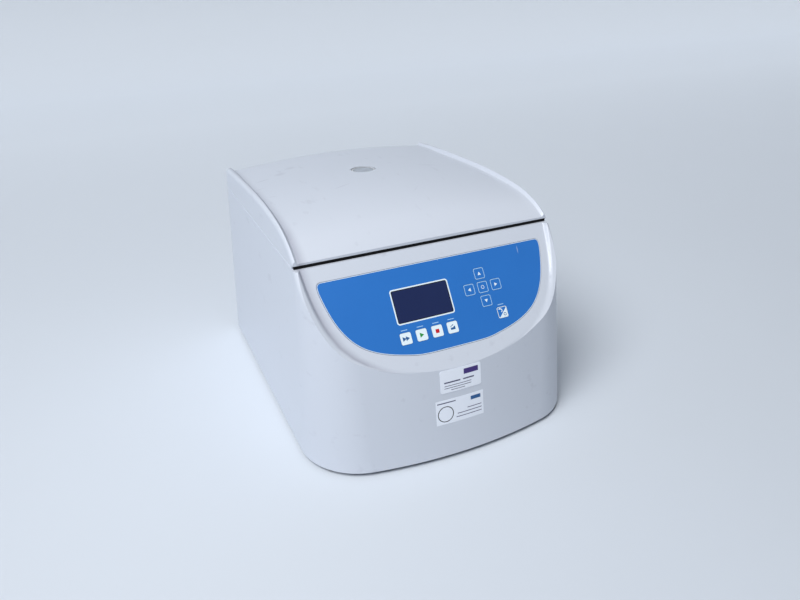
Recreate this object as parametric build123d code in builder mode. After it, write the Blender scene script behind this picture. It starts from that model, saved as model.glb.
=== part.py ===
from build123d import *
from math import atan, cos, radians, sin
import os

os.makedirs("parts", exist_ok=True)

# ---------------------------------------------------------------------------
# Bench centrifuge for microplates: a moulded casing with a sloping control
# panel, a rear-hinged lid, and a swing-out rotor with two plate carriers.
# Millimetres, +Z up. The origin is on the bench, under the middle of the
# instrument; -Y is the front, +X the right side as the user sees it.
# ---------------------------------------------------------------------------

# Casing and lid, outside
body_width = 378.0            # at the casing's bottom edge
body_depth = 470.0            # front of the bow to the rear wall
foot_height = 6.0
parting_height = 251.5        # top of the casing
lid_gap = 0.4                 # between casing and lid all round
parting_bevel = 0.6           # on both their side edges
lip_depth = 4.0               # of the notch under the lid's front edge
sill_drop = 1.0               # of the casing's edge below that notch
side_lean = 0.063             # inward, per mm of height
front_lean = 0.12
front_bow = 600.0             # radius of the bowed front in plan
corner_low = 84.0             # front corner radius at the bottom edge
corner_high = 52.0            # and at the level form_top
rear_spare = 8.0              # body made this much too long, then cut flat
form_top = 300.0
wall = 3.5
lid_wall = 3.0

# Hinges on the rear wall
hinge_barrel = 4.8            # radius
hinge_clearance = 0.4
hinge_pin = 2.0               # radius
hinge_running = 0.05
hinge_spread = 220.0
hinge_width = 60.0
hinge_leaf = 2.0
hinge_leaf_height = 24.0
knuckle_gap = 0.4

# Control panel
facet_slope = 55.9            # degrees from level
facet_setback = 103.0         # lid's front edge behind the front of the bow
lid_edge_height = 254.8       # underside of the lid's front edge
rim_rise = 5.0                # rolled rim above the panel's face
rim_run = 150.0               # length over which it fades out
rim_round = 7.0
rim_lift = 0.2                # slope of the rim's outer side above its crest
overlay_thick = 1.4
overlay_proud = 0.3           # above the panel's face
overlay_fit = 0.3

# Rotor chamber and drive
chamber_radius = 150.0
chamber_floor = 133.0
bowl_sheet = 1.2
rotor_from_rear = 165.0       # rotor axis in front of the rear wall
shaft_radius = 8.0
shaft_running = 0.05
motor_radius = 52.0
motor_bottom = 30.0
motor_plate_level = 112.0
motor_plate_thick = 4.0
guard_clearance = 2.8
guard_thick = 4.0

# Swing-out rotor; the plate is the standard footprint
plate_length = 127.76
plate_width = 85.48
plate_clearance = 0.25
carrier_sheet = 2.0
trunnion_reach = 64.0
trunnion_height = 205.0
trunnion_radius = 4.0
trunnion_running = 0.05
carrier_drop = 46.0           # trunnion axis to the underside of the carrier
carrier_gap = 2.5             # carrier end to rotor arm

# Derived places shared by many pieces
hinge_reach = hinge_clearance + 2 * hinge_barrel
rear_face = (body_depth - hinge_reach) / 2
front_edge = -(body_depth + hinge_reach) / 2
hinge_y = rear_face + hinge_clearance + hinge_barrel
hinge_z = parting_height + lid_gap / 2
lid_bottom = parting_height + lid_gap
lid_front = front_edge + facet_setback
deck_bottom = parting_height - wall
rotor_y = rear_face - rotor_from_rear
slope = radians(facet_slope)
base_bottom = foot_height


def save(piece, name):
    """Label a finished piece and write it as its own STEP file."""
    piece.part.label = name
    export_step(piece.part, f"parts/{name}.step")


# ---------------------------------------------------------------------------
# Forms shared by the casing and the lid
# ---------------------------------------------------------------------------
def half_width(z):
    return body_width / 2 - side_lean * (z - foot_height)


def front_at(z):
    return front_edge + front_lean * (z - foot_height)


def plan_at(z, inset, rear=rear_face):
    """Plan outline at height z: straight sides, bowed front, round front corners."""
    share = (z - foot_height) / (form_top - foot_height)
    corner = corner_low + (corner_high - corner_low) * share
    with BuildSketch(Plane.XY.offset(z)) as plan:
        half = half_width(z) - inset
        front = front_at(z) + inset
        with Locations((0, (front + rear - inset) / 2)):
            Rectangle(2 * half, rear - inset - front)
        with Locations((0, front + front_bow - inset)):
            Circle(front_bow - inset, mode=Mode.INTERSECT)
        fillet(plan.vertices().group_by(Axis.Y)[0], corner - inset)
    return plan.sketch


def block(inset, bottom, top, rear=rear_face):
    """The drafted body between two levels, shrunk by inset."""
    with BuildPart() as body:
        add(plan_at(bottom, inset, rear))
        add(plan_at(top, inset, rear))
        loft()
    return body.part


def facet_cross(s, n=0.0):
    """Plane across the control panel, s down its slope, n out of its face."""
    y = lid_front - s * cos(slope) - n * sin(slope)
    z = lid_edge_height - s * sin(slope) + n * cos(slope)
    return Plane(origin=(0, y, z), x_dir=(1, 0, 0), z_dir=(0, -cos(slope), -sin(slope)))


def facet_face(n=0.0):
    """Plane of the control panel, n out of its face; local y runs up the slope."""
    return Plane(origin=facet_cross(0, n).origin, x_dir=(1, 0, 0), z_dir=(0, -sin(slope), cos(slope)))


def recess_outline(foot, roll, rise, crown, lift):
    """Cross-section of what is cut away inside a rolled rim, foot to foot."""
    crest = foot + roll
    wide = body_width / 2 + 45
    high = 130
    outer = rise + (wide - crest) * lift
    ease = 0.45 * roll
    Line((-wide, high), (-wide, outer))
    Line((-wide, outer), (-crest, rise))
    Bezier((-crest, rise), (-crest + ease, rise - ease * lift), (-foot - ease, 0), (-foot, 0))
    ThreePointArc((-foot, 0), (0, crown), (foot, 0))
    Bezier((foot, 0), (foot + ease, 0), (crest - ease, rise - ease * lift), (crest, rise))
    Line((crest, rise), (wide, outer))
    Line((wide, outer), (wide, high))
    Line((wide, high), (-wide, high))


# Down the slope, foot of the rim in from the casing's half width, width of its roll
facet_stations = (
    (-70, 20.5, 5.0), (-40, 21.2, 5.0), (0, 23.2, 5.0), (25, 25.8, 5.0),
    (48, 29.5, 5.5), (74, 36.5, 6.5), (98, 47.5, 8.0), (114.5, 61.0, 9.0),
    (126, 75.0, 10.0), (138, 95.0, 12.0), (150, 125.0, 14.0), (165, 150.0, 14.0),
)


def facet_recess(inset):
    """The shallow U-shaped recess that holds the control panel."""
    with BuildPart() as cutter:
        for s, in_from_side, roll in facet_stations:
            rise = max(rim_rise * (1 - s / rim_run), 0.05)
            with BuildSketch(facet_cross(s, -inset)):
                with BuildLine():
                    recess_outline(body_width / 2 - in_from_side, roll, rise, 0.01, rim_lift)
                make_face()
        loft()
    return cutter.part


def casing_form(inset, top):
    """Solid form of the casing up to a level, shrunk by inset."""
    tilt = atan(rim_rise / rim_run)
    rim_normal = Vector(0, -sin(slope - tilt), cos(slope - tilt))
    rim_plane = Plane(origin=facet_cross(0, rim_rise - inset).origin, x_dir=(1, 0, 0), z_dir=rim_normal)
    with BuildPart() as form:
        add(block(inset, foot_height, form_top, rear_face + rear_spare))
        split(bisect_by=Plane.XZ.offset(inset - rear_face), keep=Keep.TOP)
        split(bisect_by=rim_plane, keep=Keep.BOTTOM)
        rim_face = form.faces().filter_by(lambda face: abs(face.normal_at().dot(rim_normal)) > 0.999)[0]
        fold = rim_face.edges().filter_by(lambda edge: (edge @ 0.5).Z < form_top - 1)
        fillet(fold, rim_round - inset)
        split(bisect_by=Plane.XY.offset(top), keep=Keep.BOTTOM)
        add(facet_recess(inset), mode=Mode.SUBTRACT)
    return form.part


# Lid: place along Y, level of the rim's crest, rim above the lid, foot in from the side, crown
lid_stations = (
    (rear_face + 32, 278.3, 5.0, 29.5, 9.5),
    (rear_face, 281.0, 5.0, 29.5, 9.5),
    (rear_face - 80, 286.0, 5.0, 28.5, 9.5),
    (rear_face - 160, 289.0, 5.0, 28.0, 9.5),
    (lid_front + 137, 289.3, 5.0, 27.0, 9.2),
    (lid_front + 89, 287.0, 5.0, 26.0, 8.0),
    (lid_front + 48, 281.8, 4.8, 24.5, 5.5),
    (lid_front + 26, 275.5, 4.6, 23.8, 3.6),
    (lid_front + 13, 269.8, 4.4, 23.4, 2.2),
    (lid_front + 3, 263.6, 4.2, 23.2, 1.2),
    (lid_front - 7, 255.5, 4.0, 23.0, 0.6),
    (lid_front - 19, 244.0, 4.0, 23.0, 0.3),
)
lid_rim_round = 6.0
lid_rim_roll = 5.0
lid_rim_lift = 0.6
lid_rim_band = 40.0           # width of the strip that the crest line shapes


def lid_recess(inset):
    """What is cut away above the lid's crowned top, between its rolled rims."""
    with BuildPart() as cutter:
        for y, crest, rise, in_from_side, crown in lid_stations:
            floor = Plane(origin=(0, y, crest - rise - inset), x_dir=(1, 0, 0), z_dir=(0, -1, 0))
            with BuildSketch(floor):
                with BuildLine():
                    recess_outline(body_width / 2 - in_from_side, lid_rim_roll, rise, crown, lid_rim_lift)
                make_face()
        loft()
    return cutter.part


def lid_form(inset):
    """Solid form of the lid, shrunk by inset: rims first, then the crowned top."""
    crest_points = [(station[0], station[1] - inset) for station in lid_stations]
    sky = 2 * form_top
    strip_start = half_width(form_top) - lid_rim_band
    with BuildPart() as form:
        add(block(inset, lid_bottom, form_top, rear_face + rear_spare))
        split(bisect_by=Plane.XZ.offset(-lid_front), keep=Keep.BOTTOM)
        split(bisect_by=Plane.XZ.offset(inset - rear_face), keep=Keep.TOP)
        for side in (-1, 1):
            with BuildSketch(Plane.YZ.offset(side * strip_start)):
                with BuildLine():
                    crest = Spline(*crest_points)
                    Polyline(crest @ 1, (lid_stations[-1][0], sky), (lid_stations[0][0], sky), crest @ 0)
                make_face()
            extrude(amount=side * body_width, mode=Mode.SUBTRACT)
        long_edges = form.edges().filter_by(lambda edge: edge.length > body_depth / 4)
        side_edges = long_edges.filter_by(lambda edge: abs((edge @ 0.5).X) > strip_start + lid_rim_band / 2)
        rim = side_edges.filter_by(lambda edge: (edge @ 0.5).Z > lid_bottom + lid_rim_round)
        fillet(rim, lid_rim_round - inset)
        add(lid_recess(inset), mode=Mode.SUBTRACT)
    return form.part


def parting_chamfer(z, up):
    """Small chamfer along both side edges at the parting line, up = 1 on the lid."""
    with BuildPart() as wedges:
        with BuildSketch(Plane.XZ.offset(-lid_front - lip_depth)):
            with BuildLine():
                Polyline((half_width(z) + parting_bevel, z), (half_width(z) - parting_bevel, z),
                         (half_width(z) + parting_bevel, z + up * 2 * parting_bevel), close=True)
            make_face()
            mirror(about=Plane.YZ)
        extrude(amount=-body_depth)
    return wedges.part


def upright(y):
    """Upright plane facing backwards, local x towards the left side, local y up."""
    return Plane(origin=(0, y, 0), x_dir=(-1, 0, 0), z_dir=(0, 1, 0))


# ---------------------------------------------------------------------------
# Control panel layout: places across and down the slope from the lid's edge
# ---------------------------------------------------------------------------
overlay_top = 23.9
overlay_bottom = 134.5
overlay_half_width = 152.0
overlay_corner = 6.0
overlay_side = ((2.0, 45.0), (14.0, 82.0), (40.0, 112.5), (92.0, 131.2))  # in from the side, down

display_width = 75.1
display_height = 41.1
display_place = (-28.7, -71.9)
display_corner = 3.0
display_lip = 2.5

key_size = 14.0
key_corner = 2.0
key_thick = 0.7
key_proud = 0.2               # above the overlay
key_fit = 0.3
key_travel = 0.4
row_place = (-61.2, -110.5)
row_pitch = 20.8
cross_place = (55.2, -70.8)
cross_pitch = (18.9, 17.7)
key_places = {
    "key_short": row_place,
    "key_start": (row_place[0] + row_pitch, row_place[1]),
    "key_stop": (row_place[0] + 2 * row_pitch, row_place[1]),
    "key_lid": (row_place[0] + 3 * row_pitch, row_place[1]),
    "key_up": (cross_place[0], cross_place[1] + cross_pitch[1]),
    "key_left": (cross_place[0] - cross_pitch[0], cross_place[1]),
    "key_set": cross_place,
    "key_right": (cross_place[0] + cross_pitch[0], cross_place[1]),
    "key_down": (cross_place[0], cross_place[1] - cross_pitch[1]),
    "key_back": (cross_place[0] + 17.7, cross_place[1] - 36.4),
}


def overlay_outline(grow):
    """The overlay's shape, straight on top and deeply rounded below, grown by grow."""
    half_height = (overlay_bottom - overlay_top) / 2
    middle = -overlay_top - half_height

    def spot(x, y):
        return x * (1 + grow / overlay_half_width), middle + (y - middle) * (1 + grow / half_height)

    w = overlay_half_width
    with BuildSketch() as outline:
        with BuildLine():
            top = Line(spot(0, -overlay_top), spot(w - overlay_corner, -overlay_top))
            corner = TangentArc(top @ 1, spot(w, -overlay_top - overlay_corner), tangent=(1, 0))
            bends = [spot(w - inward, -down) for inward, down in overlay_side]
            side = Spline(corner @ 1, *bends, spot(0, -overlay_bottom), tangents=((0, -1), (-1, 0)))
            Line(side @ 1, top @ 0)
        make_face()
        mirror(about=Plane.YZ)
    return outline.sketch


# ---------------------------------------------------------------------------
# Screws: one size of pan-head screw throughout
# ---------------------------------------------------------------------------
screw_radius = 1.5
screw_clearance = 0.2
screw_head = 3.0
screw_head_high = 1.8


def screw(seat, place, length):
    """Pan-head screw with its head on the plane called seat, shank into it."""
    with BuildPart() as one:
        with BuildSketch(seat):
            with Locations(place):
                Circle(screw_head)
        extrude(amount=screw_head_high)
        with BuildSketch(seat):
            with Locations(place):
                Circle(screw_radius)
        extrude(amount=-length)
    return one.part


def screw_holes(seat, places, depth):
    """Clearance holes from the plane called seat, to be cut from a piece."""
    with BuildPart() as holes:
        with BuildSketch(seat):
            with Locations(*places):
                Circle(screw_radius + screw_clearance)
        extrude(amount=-depth)
    return holes.part


hinge_screw_drop = 15.0
hinge_screw_spread = 36.0
screw_bite = 2.0              # shank past the sheet or wall it holds
hinge_places = (-hinge_spread / 2, hinge_spread / 2)


def hinge_screw_places(up):
    """Places on the rear wall, up = 1 for the lid's leaves and -1 for the casing's."""
    return [
        (x + side * hinge_screw_spread / 2, hinge_z + up * hinge_screw_drop)
        for x in hinge_places for side in (-1, 1)
    ]


# ---------------------------------------------------------------------------
# Casing: one moulding, open below, with the panel's recess and a flat deck
# round the chamber mouth. Screw bosses inside take the base plate.
# ---------------------------------------------------------------------------
base_sheet = 2.0
base_top = base_bottom + base_sheet
bowl_outer = chamber_radius + bowl_sheet
bowl_flange = 7.0
bowl_fit = 0.4
flange_radius = bowl_outer + bowl_flange

boss_radius = 6.0
boss_height = 32.0
boss_reach = 14.5             # boss centre to the wall's inner face
boss_root = 0.5               # of the rib, inside the wall
boss_rows = (front_edge + 130, front_edge + 300, rear_face - 30)
boss_side = half_width(base_top) - wall - boss_reach + boss_root
boss_places = [(side * boss_side, y) for side in (-1, 1) for y in boss_rows]

striker_y = lid_front + 21
latch_slot = (32.0, 13.0)
rear_opening = (236.0, 108.0)
rear_opening_z = 84.0
opening_corner = 5.0
panel_lap = 8.0
panel_screw_columns = (-1, -0.36, 0.36, 1)
panel_outside = rear_face - wall
panel_screw_places = [
    (x * (rear_opening[0] + panel_lap) / 2, rear_opening_z + z * (rear_opening[1] + panel_lap) / 2)
    for x in panel_screw_columns for z in (-1, 1)
]
board_boss_radius = 3.5
board_gap = 14.0              # panel's face to the control board
board_bosses = [(x, -s) for x in (-82, 92) for s in (48, 96)]

with BuildPart() as casing:
    add(casing_form(0, parting_height))
    add(casing_form(wall, deck_bottom), mode=Mode.SUBTRACT)
    with BuildSketch(Plane.XY.offset(base_top)):
        with Locations(*boss_places):
            Circle(boss_radius)
        with Locations(*[(x + (boss_reach / 2 if x > 0 else -boss_reach / 2), y) for x, y in boss_places]):
            Rectangle(boss_reach, wall)
    extrude(amount=boss_height)
    with BuildSketch(Plane.XY.offset(base_top)):
        with Locations(*boss_places):
            Circle(screw_radius + screw_clearance)
    extrude(amount=boss_height - wall, mode=Mode.SUBTRACT)
    with BuildSketch(facet_face(-board_gap)):
        with Locations(*board_bosses):
            Circle(board_boss_radius)
    extrude(amount=board_gap - wall / 2)
    with BuildSketch(facet_face(overlay_proud - overlay_thick)):
        add(overlay_outline(overlay_fit))
    extrude(amount=wall, mode=Mode.SUBTRACT)
    with BuildSketch(facet_face(-wall)):
        with Locations(display_place):
            Rectangle(display_width - 2 * display_lip, display_height - 2 * display_lip)
    extrude(amount=2 * wall, both=True, mode=Mode.SUBTRACT)
    with BuildSketch(Plane.XY.offset(deck_bottom)):
        with Locations((0, rotor_y)):
            Circle(bowl_outer + bowl_fit)
        with Locations((0, striker_y)):
            Rectangle(*latch_slot)
    extrude(amount=2 * wall, both=True, mode=Mode.SUBTRACT)
    with BuildSketch(Plane.XY.offset(parting_height - bowl_sheet)):
        with Locations((0, rotor_y)):
            Circle(flange_radius + bowl_fit)
    extrude(amount=wall, mode=Mode.SUBTRACT)
    with BuildSketch(upright(panel_outside)):
        with Locations((0, rear_opening_z)):
            RectangleRounded(*rear_opening, opening_corner)
    extrude(amount=2 * wall, both=True, mode=Mode.SUBTRACT)
    with Locations((0, lid_front + lip_depth, parting_height)):
        Box(body_width, facet_setback, 2 * sill_drop, align=(Align.CENTER, Align.MAX, Align.CENTER),
            mode=Mode.SUBTRACT)
    add(parting_chamfer(parting_height, -1), mode=Mode.SUBTRACT)
    rear_holes = panel_screw_places + hinge_screw_places(-1)
    add(screw_holes(upright(rear_face), rear_holes, 2 * wall), mode=Mode.SUBTRACT)
save(casing, "casing")


# ---------------------------------------------------------------------------
# Base plate: sheet steel that closes the casing below and carries the motor,
# the guard ring and the drive board. Slots under the motor let air in.
# ---------------------------------------------------------------------------
plate_fit = 0.5
post_circle = 85.0
board_size = (150.0, 78.0)
board_y = front_edge + 82
board_holes = (136.0, 64.0)
stud_radius = 3.0
stud_height = 6.0
air_slots = 12
air_slot = (30.0, 5.0)
air_circle = 0.6 * motor_radius
foot_radius = 15.0
foot_front = (157.0, front_edge + 54)
foot_rear = (150.0, rear_face - 36)
foot_places = [(side * x, y) for x, y in (foot_front, foot_rear) for side in (-1, 1)]

with BuildPart() as base_plate:
    add(block(wall + plate_fit, base_bottom, base_top))
    with BuildSketch(Plane.XY.offset(base_top)):
        with Locations((0, board_y)):
            with GridLocations(*board_holes, 2, 2):
                Circle(stud_radius)
    extrude(amount=stud_height)
    with BuildSketch(Plane.XY.offset(base_bottom)):
        with Locations((0, rotor_y)):
            with PolarLocations(air_circle, air_slots):
                SlotOverall(*air_slot)
        with Locations(*boss_places, *foot_places):
            Circle(screw_radius + screw_clearance)
    extrude(amount=base_sheet, mode=Mode.SUBTRACT)
save(base_plate, "base_plate")


# ---------------------------------------------------------------------------
# Feet: moulded rubber buffers, each held by a screw sunk in its middle.
# ---------------------------------------------------------------------------
foot_draft = 20.0             # degrees
boss_screw_length = 16.0

with BuildPart() as feet:
    with BuildSketch(Plane.XY.offset(foot_height)):
        with Locations(*foot_places):
            Circle(foot_radius)
    extrude(amount=-foot_height, taper=foot_draft)
    with BuildSketch(Plane.XY):
        with Locations(*foot_places):
            Circle(screw_radius + screw_clearance)
    extrude(amount=foot_height, mode=Mode.SUBTRACT)
    with BuildSketch(Plane.XY):
        with Locations(*foot_places):
            Circle(screw_head + screw_clearance)
    extrude(amount=foot_height / 2, mode=Mode.SUBTRACT)
save(feet, "feet")


def below(z):
    """Level plane that faces down."""
    return Plane(origin=(0, 0, z), x_dir=(1, 0, 0), z_dir=(0, 0, -1))


with BuildPart() as base_screws:
    for x, y in foot_places:
        add(screw(below(foot_height / 2), (x, -y), foot_height))
    for x, y in boss_places:
        add(screw(below(base_bottom), (x, -y), boss_screw_length))
save(base_screws, "base_screws")


# ---------------------------------------------------------------------------
# Rear panel: sheet steel behind the opening in the rear wall, with two
# banks of vents, the mains inlet and the power switch.
# ---------------------------------------------------------------------------
panel_sheet = 1.5
power_z = 62.0
cutout_fit = 0.2
flange_thick = 2.5
socket_depth = 17.0
body_depth_behind = 26.0
inlet_x = 78.0
inlet_body = (27.0, 33.0)
inlet_flange = (34.0, 41.0)
switch_x = 28.0
switch_body = (22.0, 29.0)
switch_flange = (26.0, 33.0)
vent_slot = (3.5, 36.0)
vent_pitch = (9.0, 44.0)
vent_rows = (10, 2)
vent_x = -60.0
flange_corner = 3.0

with BuildPart() as rear_panel:
    with BuildSketch(upright(panel_outside - panel_sheet)):
        with Locations((0, rear_opening_z)):
            RectangleRounded(rear_opening[0] + 2 * panel_lap, rear_opening[1] + 2 * panel_lap, opening_corner)
        with Locations((vent_x, rear_opening_z)):
            with GridLocations(*vent_pitch, *vent_rows):
                SlotOverall(vent_slot[1], vent_slot[0], rotation=90, mode=Mode.SUBTRACT)
        with Locations((inlet_x, power_z)):
            Rectangle(inlet_body[0] + 2 * cutout_fit, inlet_body[1] + 2 * cutout_fit, mode=Mode.SUBTRACT)
        with Locations((switch_x, power_z)):
            Rectangle(switch_body[0] + 2 * cutout_fit, switch_body[1] + 2 * cutout_fit, mode=Mode.SUBTRACT)
        with Locations(*panel_screw_places):
            Circle(screw_radius + screw_clearance, mode=Mode.SUBTRACT)
    extrude(amount=panel_sheet)
save(rear_panel, "rear_panel")

with BuildPart() as rear_panel_screws:
    for place in panel_screw_places:
        add(screw(upright(rear_face), place, wall + panel_sheet + screw_bite))
save(rear_panel_screws, "rear_panel_screws")

socket = (24.4, 16.8)
socket_rise = 5.0             # socket's centre above the inlet's
socket_corner = 4.5
drawer = (24.0, 7.0)
drawer_drop = 11.5
drawer_depth = 20.0
drawer_fit = 0.1
pin_size = (2.0, 4.0)
pin_length = 14.0
pin_spread = 7.0
pin_stagger = 2.0             # line pins below the socket's centre, earth pin above
drawer_proud = 1.0
drawer_grip = (8.0, 2.0)
drawer_grip_depth = 0.8
socket_z = power_z + socket_rise
inlet_face = panel_outside + flange_thick

with BuildPart() as power_inlet:
    with BuildSketch(upright(panel_outside)):
        with Locations((inlet_x, power_z)):
            RectangleRounded(*inlet_flange, flange_corner)
    extrude(amount=flange_thick)
    with BuildSketch(upright(panel_outside)):
        with Locations((inlet_x, power_z)):
            Rectangle(*inlet_body)
    extrude(amount=-body_depth_behind)
    with BuildSketch(upright(inlet_face)) as socket_shape:
        with Locations((inlet_x, socket_z)):
            Rectangle(*socket)
        chamfer(socket_shape.vertices().group_by(Axis.Y)[-1], socket_corner)
    extrude(amount=-socket_depth, mode=Mode.SUBTRACT)
    with BuildSketch(upright(inlet_face)):
        with Locations((inlet_x, power_z - drawer_drop)):
            Rectangle(drawer[0] + 2 * drawer_fit, drawer[1] + 2 * drawer_fit)
    extrude(amount=-drawer_depth, mode=Mode.SUBTRACT)
save(power_inlet, "power_inlet")

with BuildPart() as inlet_pins:
    with BuildSketch(upright(inlet_face - socket_depth)):
        with Locations((inlet_x, socket_z + pin_stagger)):
            Rectangle(*pin_size)
        with Locations((inlet_x, socket_z - pin_stagger)):
            with GridLocations(2 * pin_spread, 1, 2, 1):
                Rectangle(*pin_size)
    extrude(amount=pin_length)
save(inlet_pins, "inlet_pins")

with BuildPart() as fuse_drawer:
    with BuildSketch(upright(inlet_face - drawer_depth)):
        with Locations((inlet_x, power_z - drawer_drop)):
            Rectangle(*drawer)
    extrude(amount=drawer_depth + drawer_proud)
    with BuildSketch(upright(inlet_face + drawer_proud)):
        with Locations((inlet_x, power_z - drawer_drop)):
            Rectangle(*drawer_grip)
    extrude(amount=-drawer_grip_depth, mode=Mode.SUBTRACT)
save(fuse_drawer, "fuse_drawer")

# The rocker tips top or bottom about a pin that runs across the switch.
rocker_size = (17.0, 23.0)
rocker_fit = (0.4, 0.9)       # each side, across and up
rocker_tilt = 8.0             # degrees either side of level
rocker_pivot_y = panel_outside - 1
rocker_pocket = 9.0
rocker_pin = 1.5
rocker_pin_end = 0.5          # short of the frame's outside
rocker_proud = 3.0
rocker_dish = 1.2
rocker_skirt = 1.5
rocker_keel = (4.5, 4.0)      # depth and half height

with BuildPart() as power_switch_frame:
    with BuildSketch(upright(panel_outside)):
        with Locations((switch_x, power_z)):
            RectangleRounded(*switch_flange, flange_corner)
    extrude(amount=flange_thick)
    with BuildSketch(upright(panel_outside)):
        with Locations((switch_x, power_z)):
            Rectangle(*switch_body)
    extrude(amount=-body_depth_behind)
    with BuildSketch(upright(rocker_pivot_y - rocker_pocket)):
        with Locations((switch_x, power_z)):
            Rectangle(rocker_size[0] + 2 * rocker_fit[0], rocker_size[1] + 2 * rocker_fit[1])
    extrude(amount=2 * rocker_pocket, mode=Mode.SUBTRACT)
    with BuildSketch(Plane.YZ.offset(-switch_x)):
        with Locations((rocker_pivot_y, power_z)):
            Circle(rocker_pin)
    extrude(amount=switch_body[0] / 2 - rocker_pin_end, both=True)
save(power_switch_frame, "power_switch_frame")

rocker_plane = Plane(
    origin=(-switch_x, rocker_pivot_y, power_z),
    x_dir=(0, cos(radians(rocker_tilt)), -sin(radians(rocker_tilt))),
    z_dir=(1, 0, 0),
)
with BuildPart() as power_rocker:
    with BuildSketch(rocker_plane):
        with BuildLine():
            top = flange_thick + rocker_proud
            half = rocker_size[1] / 2
            depth, keel = rocker_keel
            ThreePointArc((top, half), (top - rocker_dish, 0), (top, -half))
            Polyline((top, -half), (-rocker_skirt, -half), (-depth, -keel), (-depth, keel),
                     (-rocker_skirt, half), (top, half))
        make_face()
        Circle(rocker_pin + shaft_running, mode=Mode.SUBTRACT)
    extrude(amount=rocker_size[0] / 2, both=True)
save(power_rocker, "power_rocker")


# ---------------------------------------------------------------------------
# Chamber bowl: deep-drawn stainless sheet hung by its flange in the deck,
# with a rubber seal on the flange and a steel guard ring round it.
# ---------------------------------------------------------------------------
seal_height = 1.6
seal_lip = (4.0, 2.0)         # width of the lip's foot and of its crest
seal_edge = (0.5, 1.5)        # in from the flange's edge, below and above
bowl_bend = 14.0
shaft_hole = 24.0
flange_level = parting_height - bowl_sheet
bowl_under = chamber_floor - bowl_sheet
rotor_section = Plane(origin=(0, rotor_y, 0), x_dir=(1, 0, 0), z_dir=(0, -1, 0))
rotor_axis = Axis((0, rotor_y, 0), (0, 0, 1))

with BuildPart() as chamber_bowl:
    with BuildSketch(rotor_section) as bowl_section:
        with BuildLine():
            Polyline((shaft_hole, bowl_under), (bowl_outer, bowl_under), (bowl_outer, flange_level),
                     (flange_radius, flange_level), (flange_radius, parting_height),
                     (chamber_radius, parting_height),
                     (chamber_radius, chamber_floor), (shaft_hole, chamber_floor), (shaft_hole, bowl_under))
        make_face()
        low_corners = bowl_section.vertices().filter_by(
            lambda corner: corner.X > chamber_radius - 0.1 and corner.Y < chamber_floor + 0.1
        )
        fillet(low_corners.sort_by(Axis.X)[0], bowl_bend)
        fillet(bowl_section.vertices().sort_by_distance((bowl_outer, bowl_under))[0], bowl_bend + bowl_sheet)
    revolve(axis=rotor_axis)
save(chamber_bowl, "chamber_bowl")

with BuildPart() as bowl_seal:
    with BuildSketch(rotor_section):
        with BuildLine():
            Polyline((chamber_radius, parting_height), (flange_radius - seal_edge[0], parting_height),
                     (flange_radius - seal_edge[1], parting_height + seal_height / 2),
                     (chamber_radius + seal_lip[0], parting_height + seal_height),
                     (chamber_radius + seal_lip[1], parting_height + seal_height),
                     (chamber_radius, parting_height + seal_height / 2), close=True)
        make_face()
    revolve(axis=rotor_axis)
save(bowl_seal, "bowl_seal")

guard_inner = bowl_outer + guard_clearance
guard_middle = guard_inner + guard_thick / 2
guard_below_deck = 1.0
guard_above_floor = 4.0
guard_top = deck_bottom - guard_below_deck
guard_bottom = chamber_floor + guard_above_floor
guard_post_radius = 7.0

with BuildPart() as guard_ring:
    with BuildSketch(Plane.XY.offset(guard_bottom)):
        with Locations((0, rotor_y)):
            Circle(guard_inner + guard_thick)
            Circle(guard_inner, mode=Mode.SUBTRACT)
    extrude(amount=guard_top - guard_bottom)
save(guard_ring, "guard_ring")

with BuildPart() as guard_posts:
    with BuildSketch(Plane.XY.offset(base_top)):
        with Locations((0, rotor_y)):
            with PolarLocations(guard_middle, 4, 45):
                Circle(guard_post_radius)
    extrude(amount=guard_bottom - base_top)
save(guard_posts, "guard_posts")


# ---------------------------------------------------------------------------
# Motor: ribbed housing hung under a steel plate that stands on four posts
# through rubber dampers, so an unbalanced rotor can't shake the casing.
# ---------------------------------------------------------------------------
post_radius = 8.0
damper_height = 14.0
damper_radius = 11.0
damper_waist = 8.0
damper_level = motor_plate_level - damper_height
bell_step = 4.0
bell_radius = motor_radius + bell_step
bell_height = 10.0
motor_fins = 24
motor_fin = (5.0, 2.5)
plate_margin = 4.0            # of the motor plate past its dampers
nose_clearance = 1.0
plate_top = motor_plate_level + motor_plate_thick
bearing_wall = 6.0
nose_height = 10.0

with BuildPart() as motor_posts:
    with BuildSketch(Plane.XY.offset(base_top)):
        with Locations((0, rotor_y)):
            with PolarLocations(post_circle, 4):
                Circle(post_radius)
    extrude(amount=damper_level - base_top)
save(motor_posts, "motor_posts")

with BuildPart() as motor_dampers:
    for x, y in ((post_circle, 0), (0, post_circle), (-post_circle, 0), (0, -post_circle)):
        with BuildSketch(Plane(origin=(x, rotor_y + y, damper_level), x_dir=(1, 0, 0), z_dir=(0, -1, 0))):
            with BuildLine():
                Line((0, 0), (damper_radius, 0))
                ThreePointArc((damper_radius, 0), (damper_waist, damper_height / 2),
                              (damper_radius, damper_height))
                Line((damper_radius, damper_height), (0, damper_height))
                Line((0, damper_height), (0, 0))
            make_face()
        revolve(axis=Axis((x, rotor_y + y, 0), (0, 0, 1)))
save(motor_dampers, "motor_dampers")

with BuildPart() as motor_plate:
    with BuildSketch(Plane.XY.offset(motor_plate_level)):
        with Locations((0, rotor_y)):
            Circle(post_circle + damper_radius + plate_margin)
            Circle(shaft_radius + bearing_wall + nose_clearance, mode=Mode.SUBTRACT)
    extrude(amount=motor_plate_thick)
save(motor_plate, "motor_plate")

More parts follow.
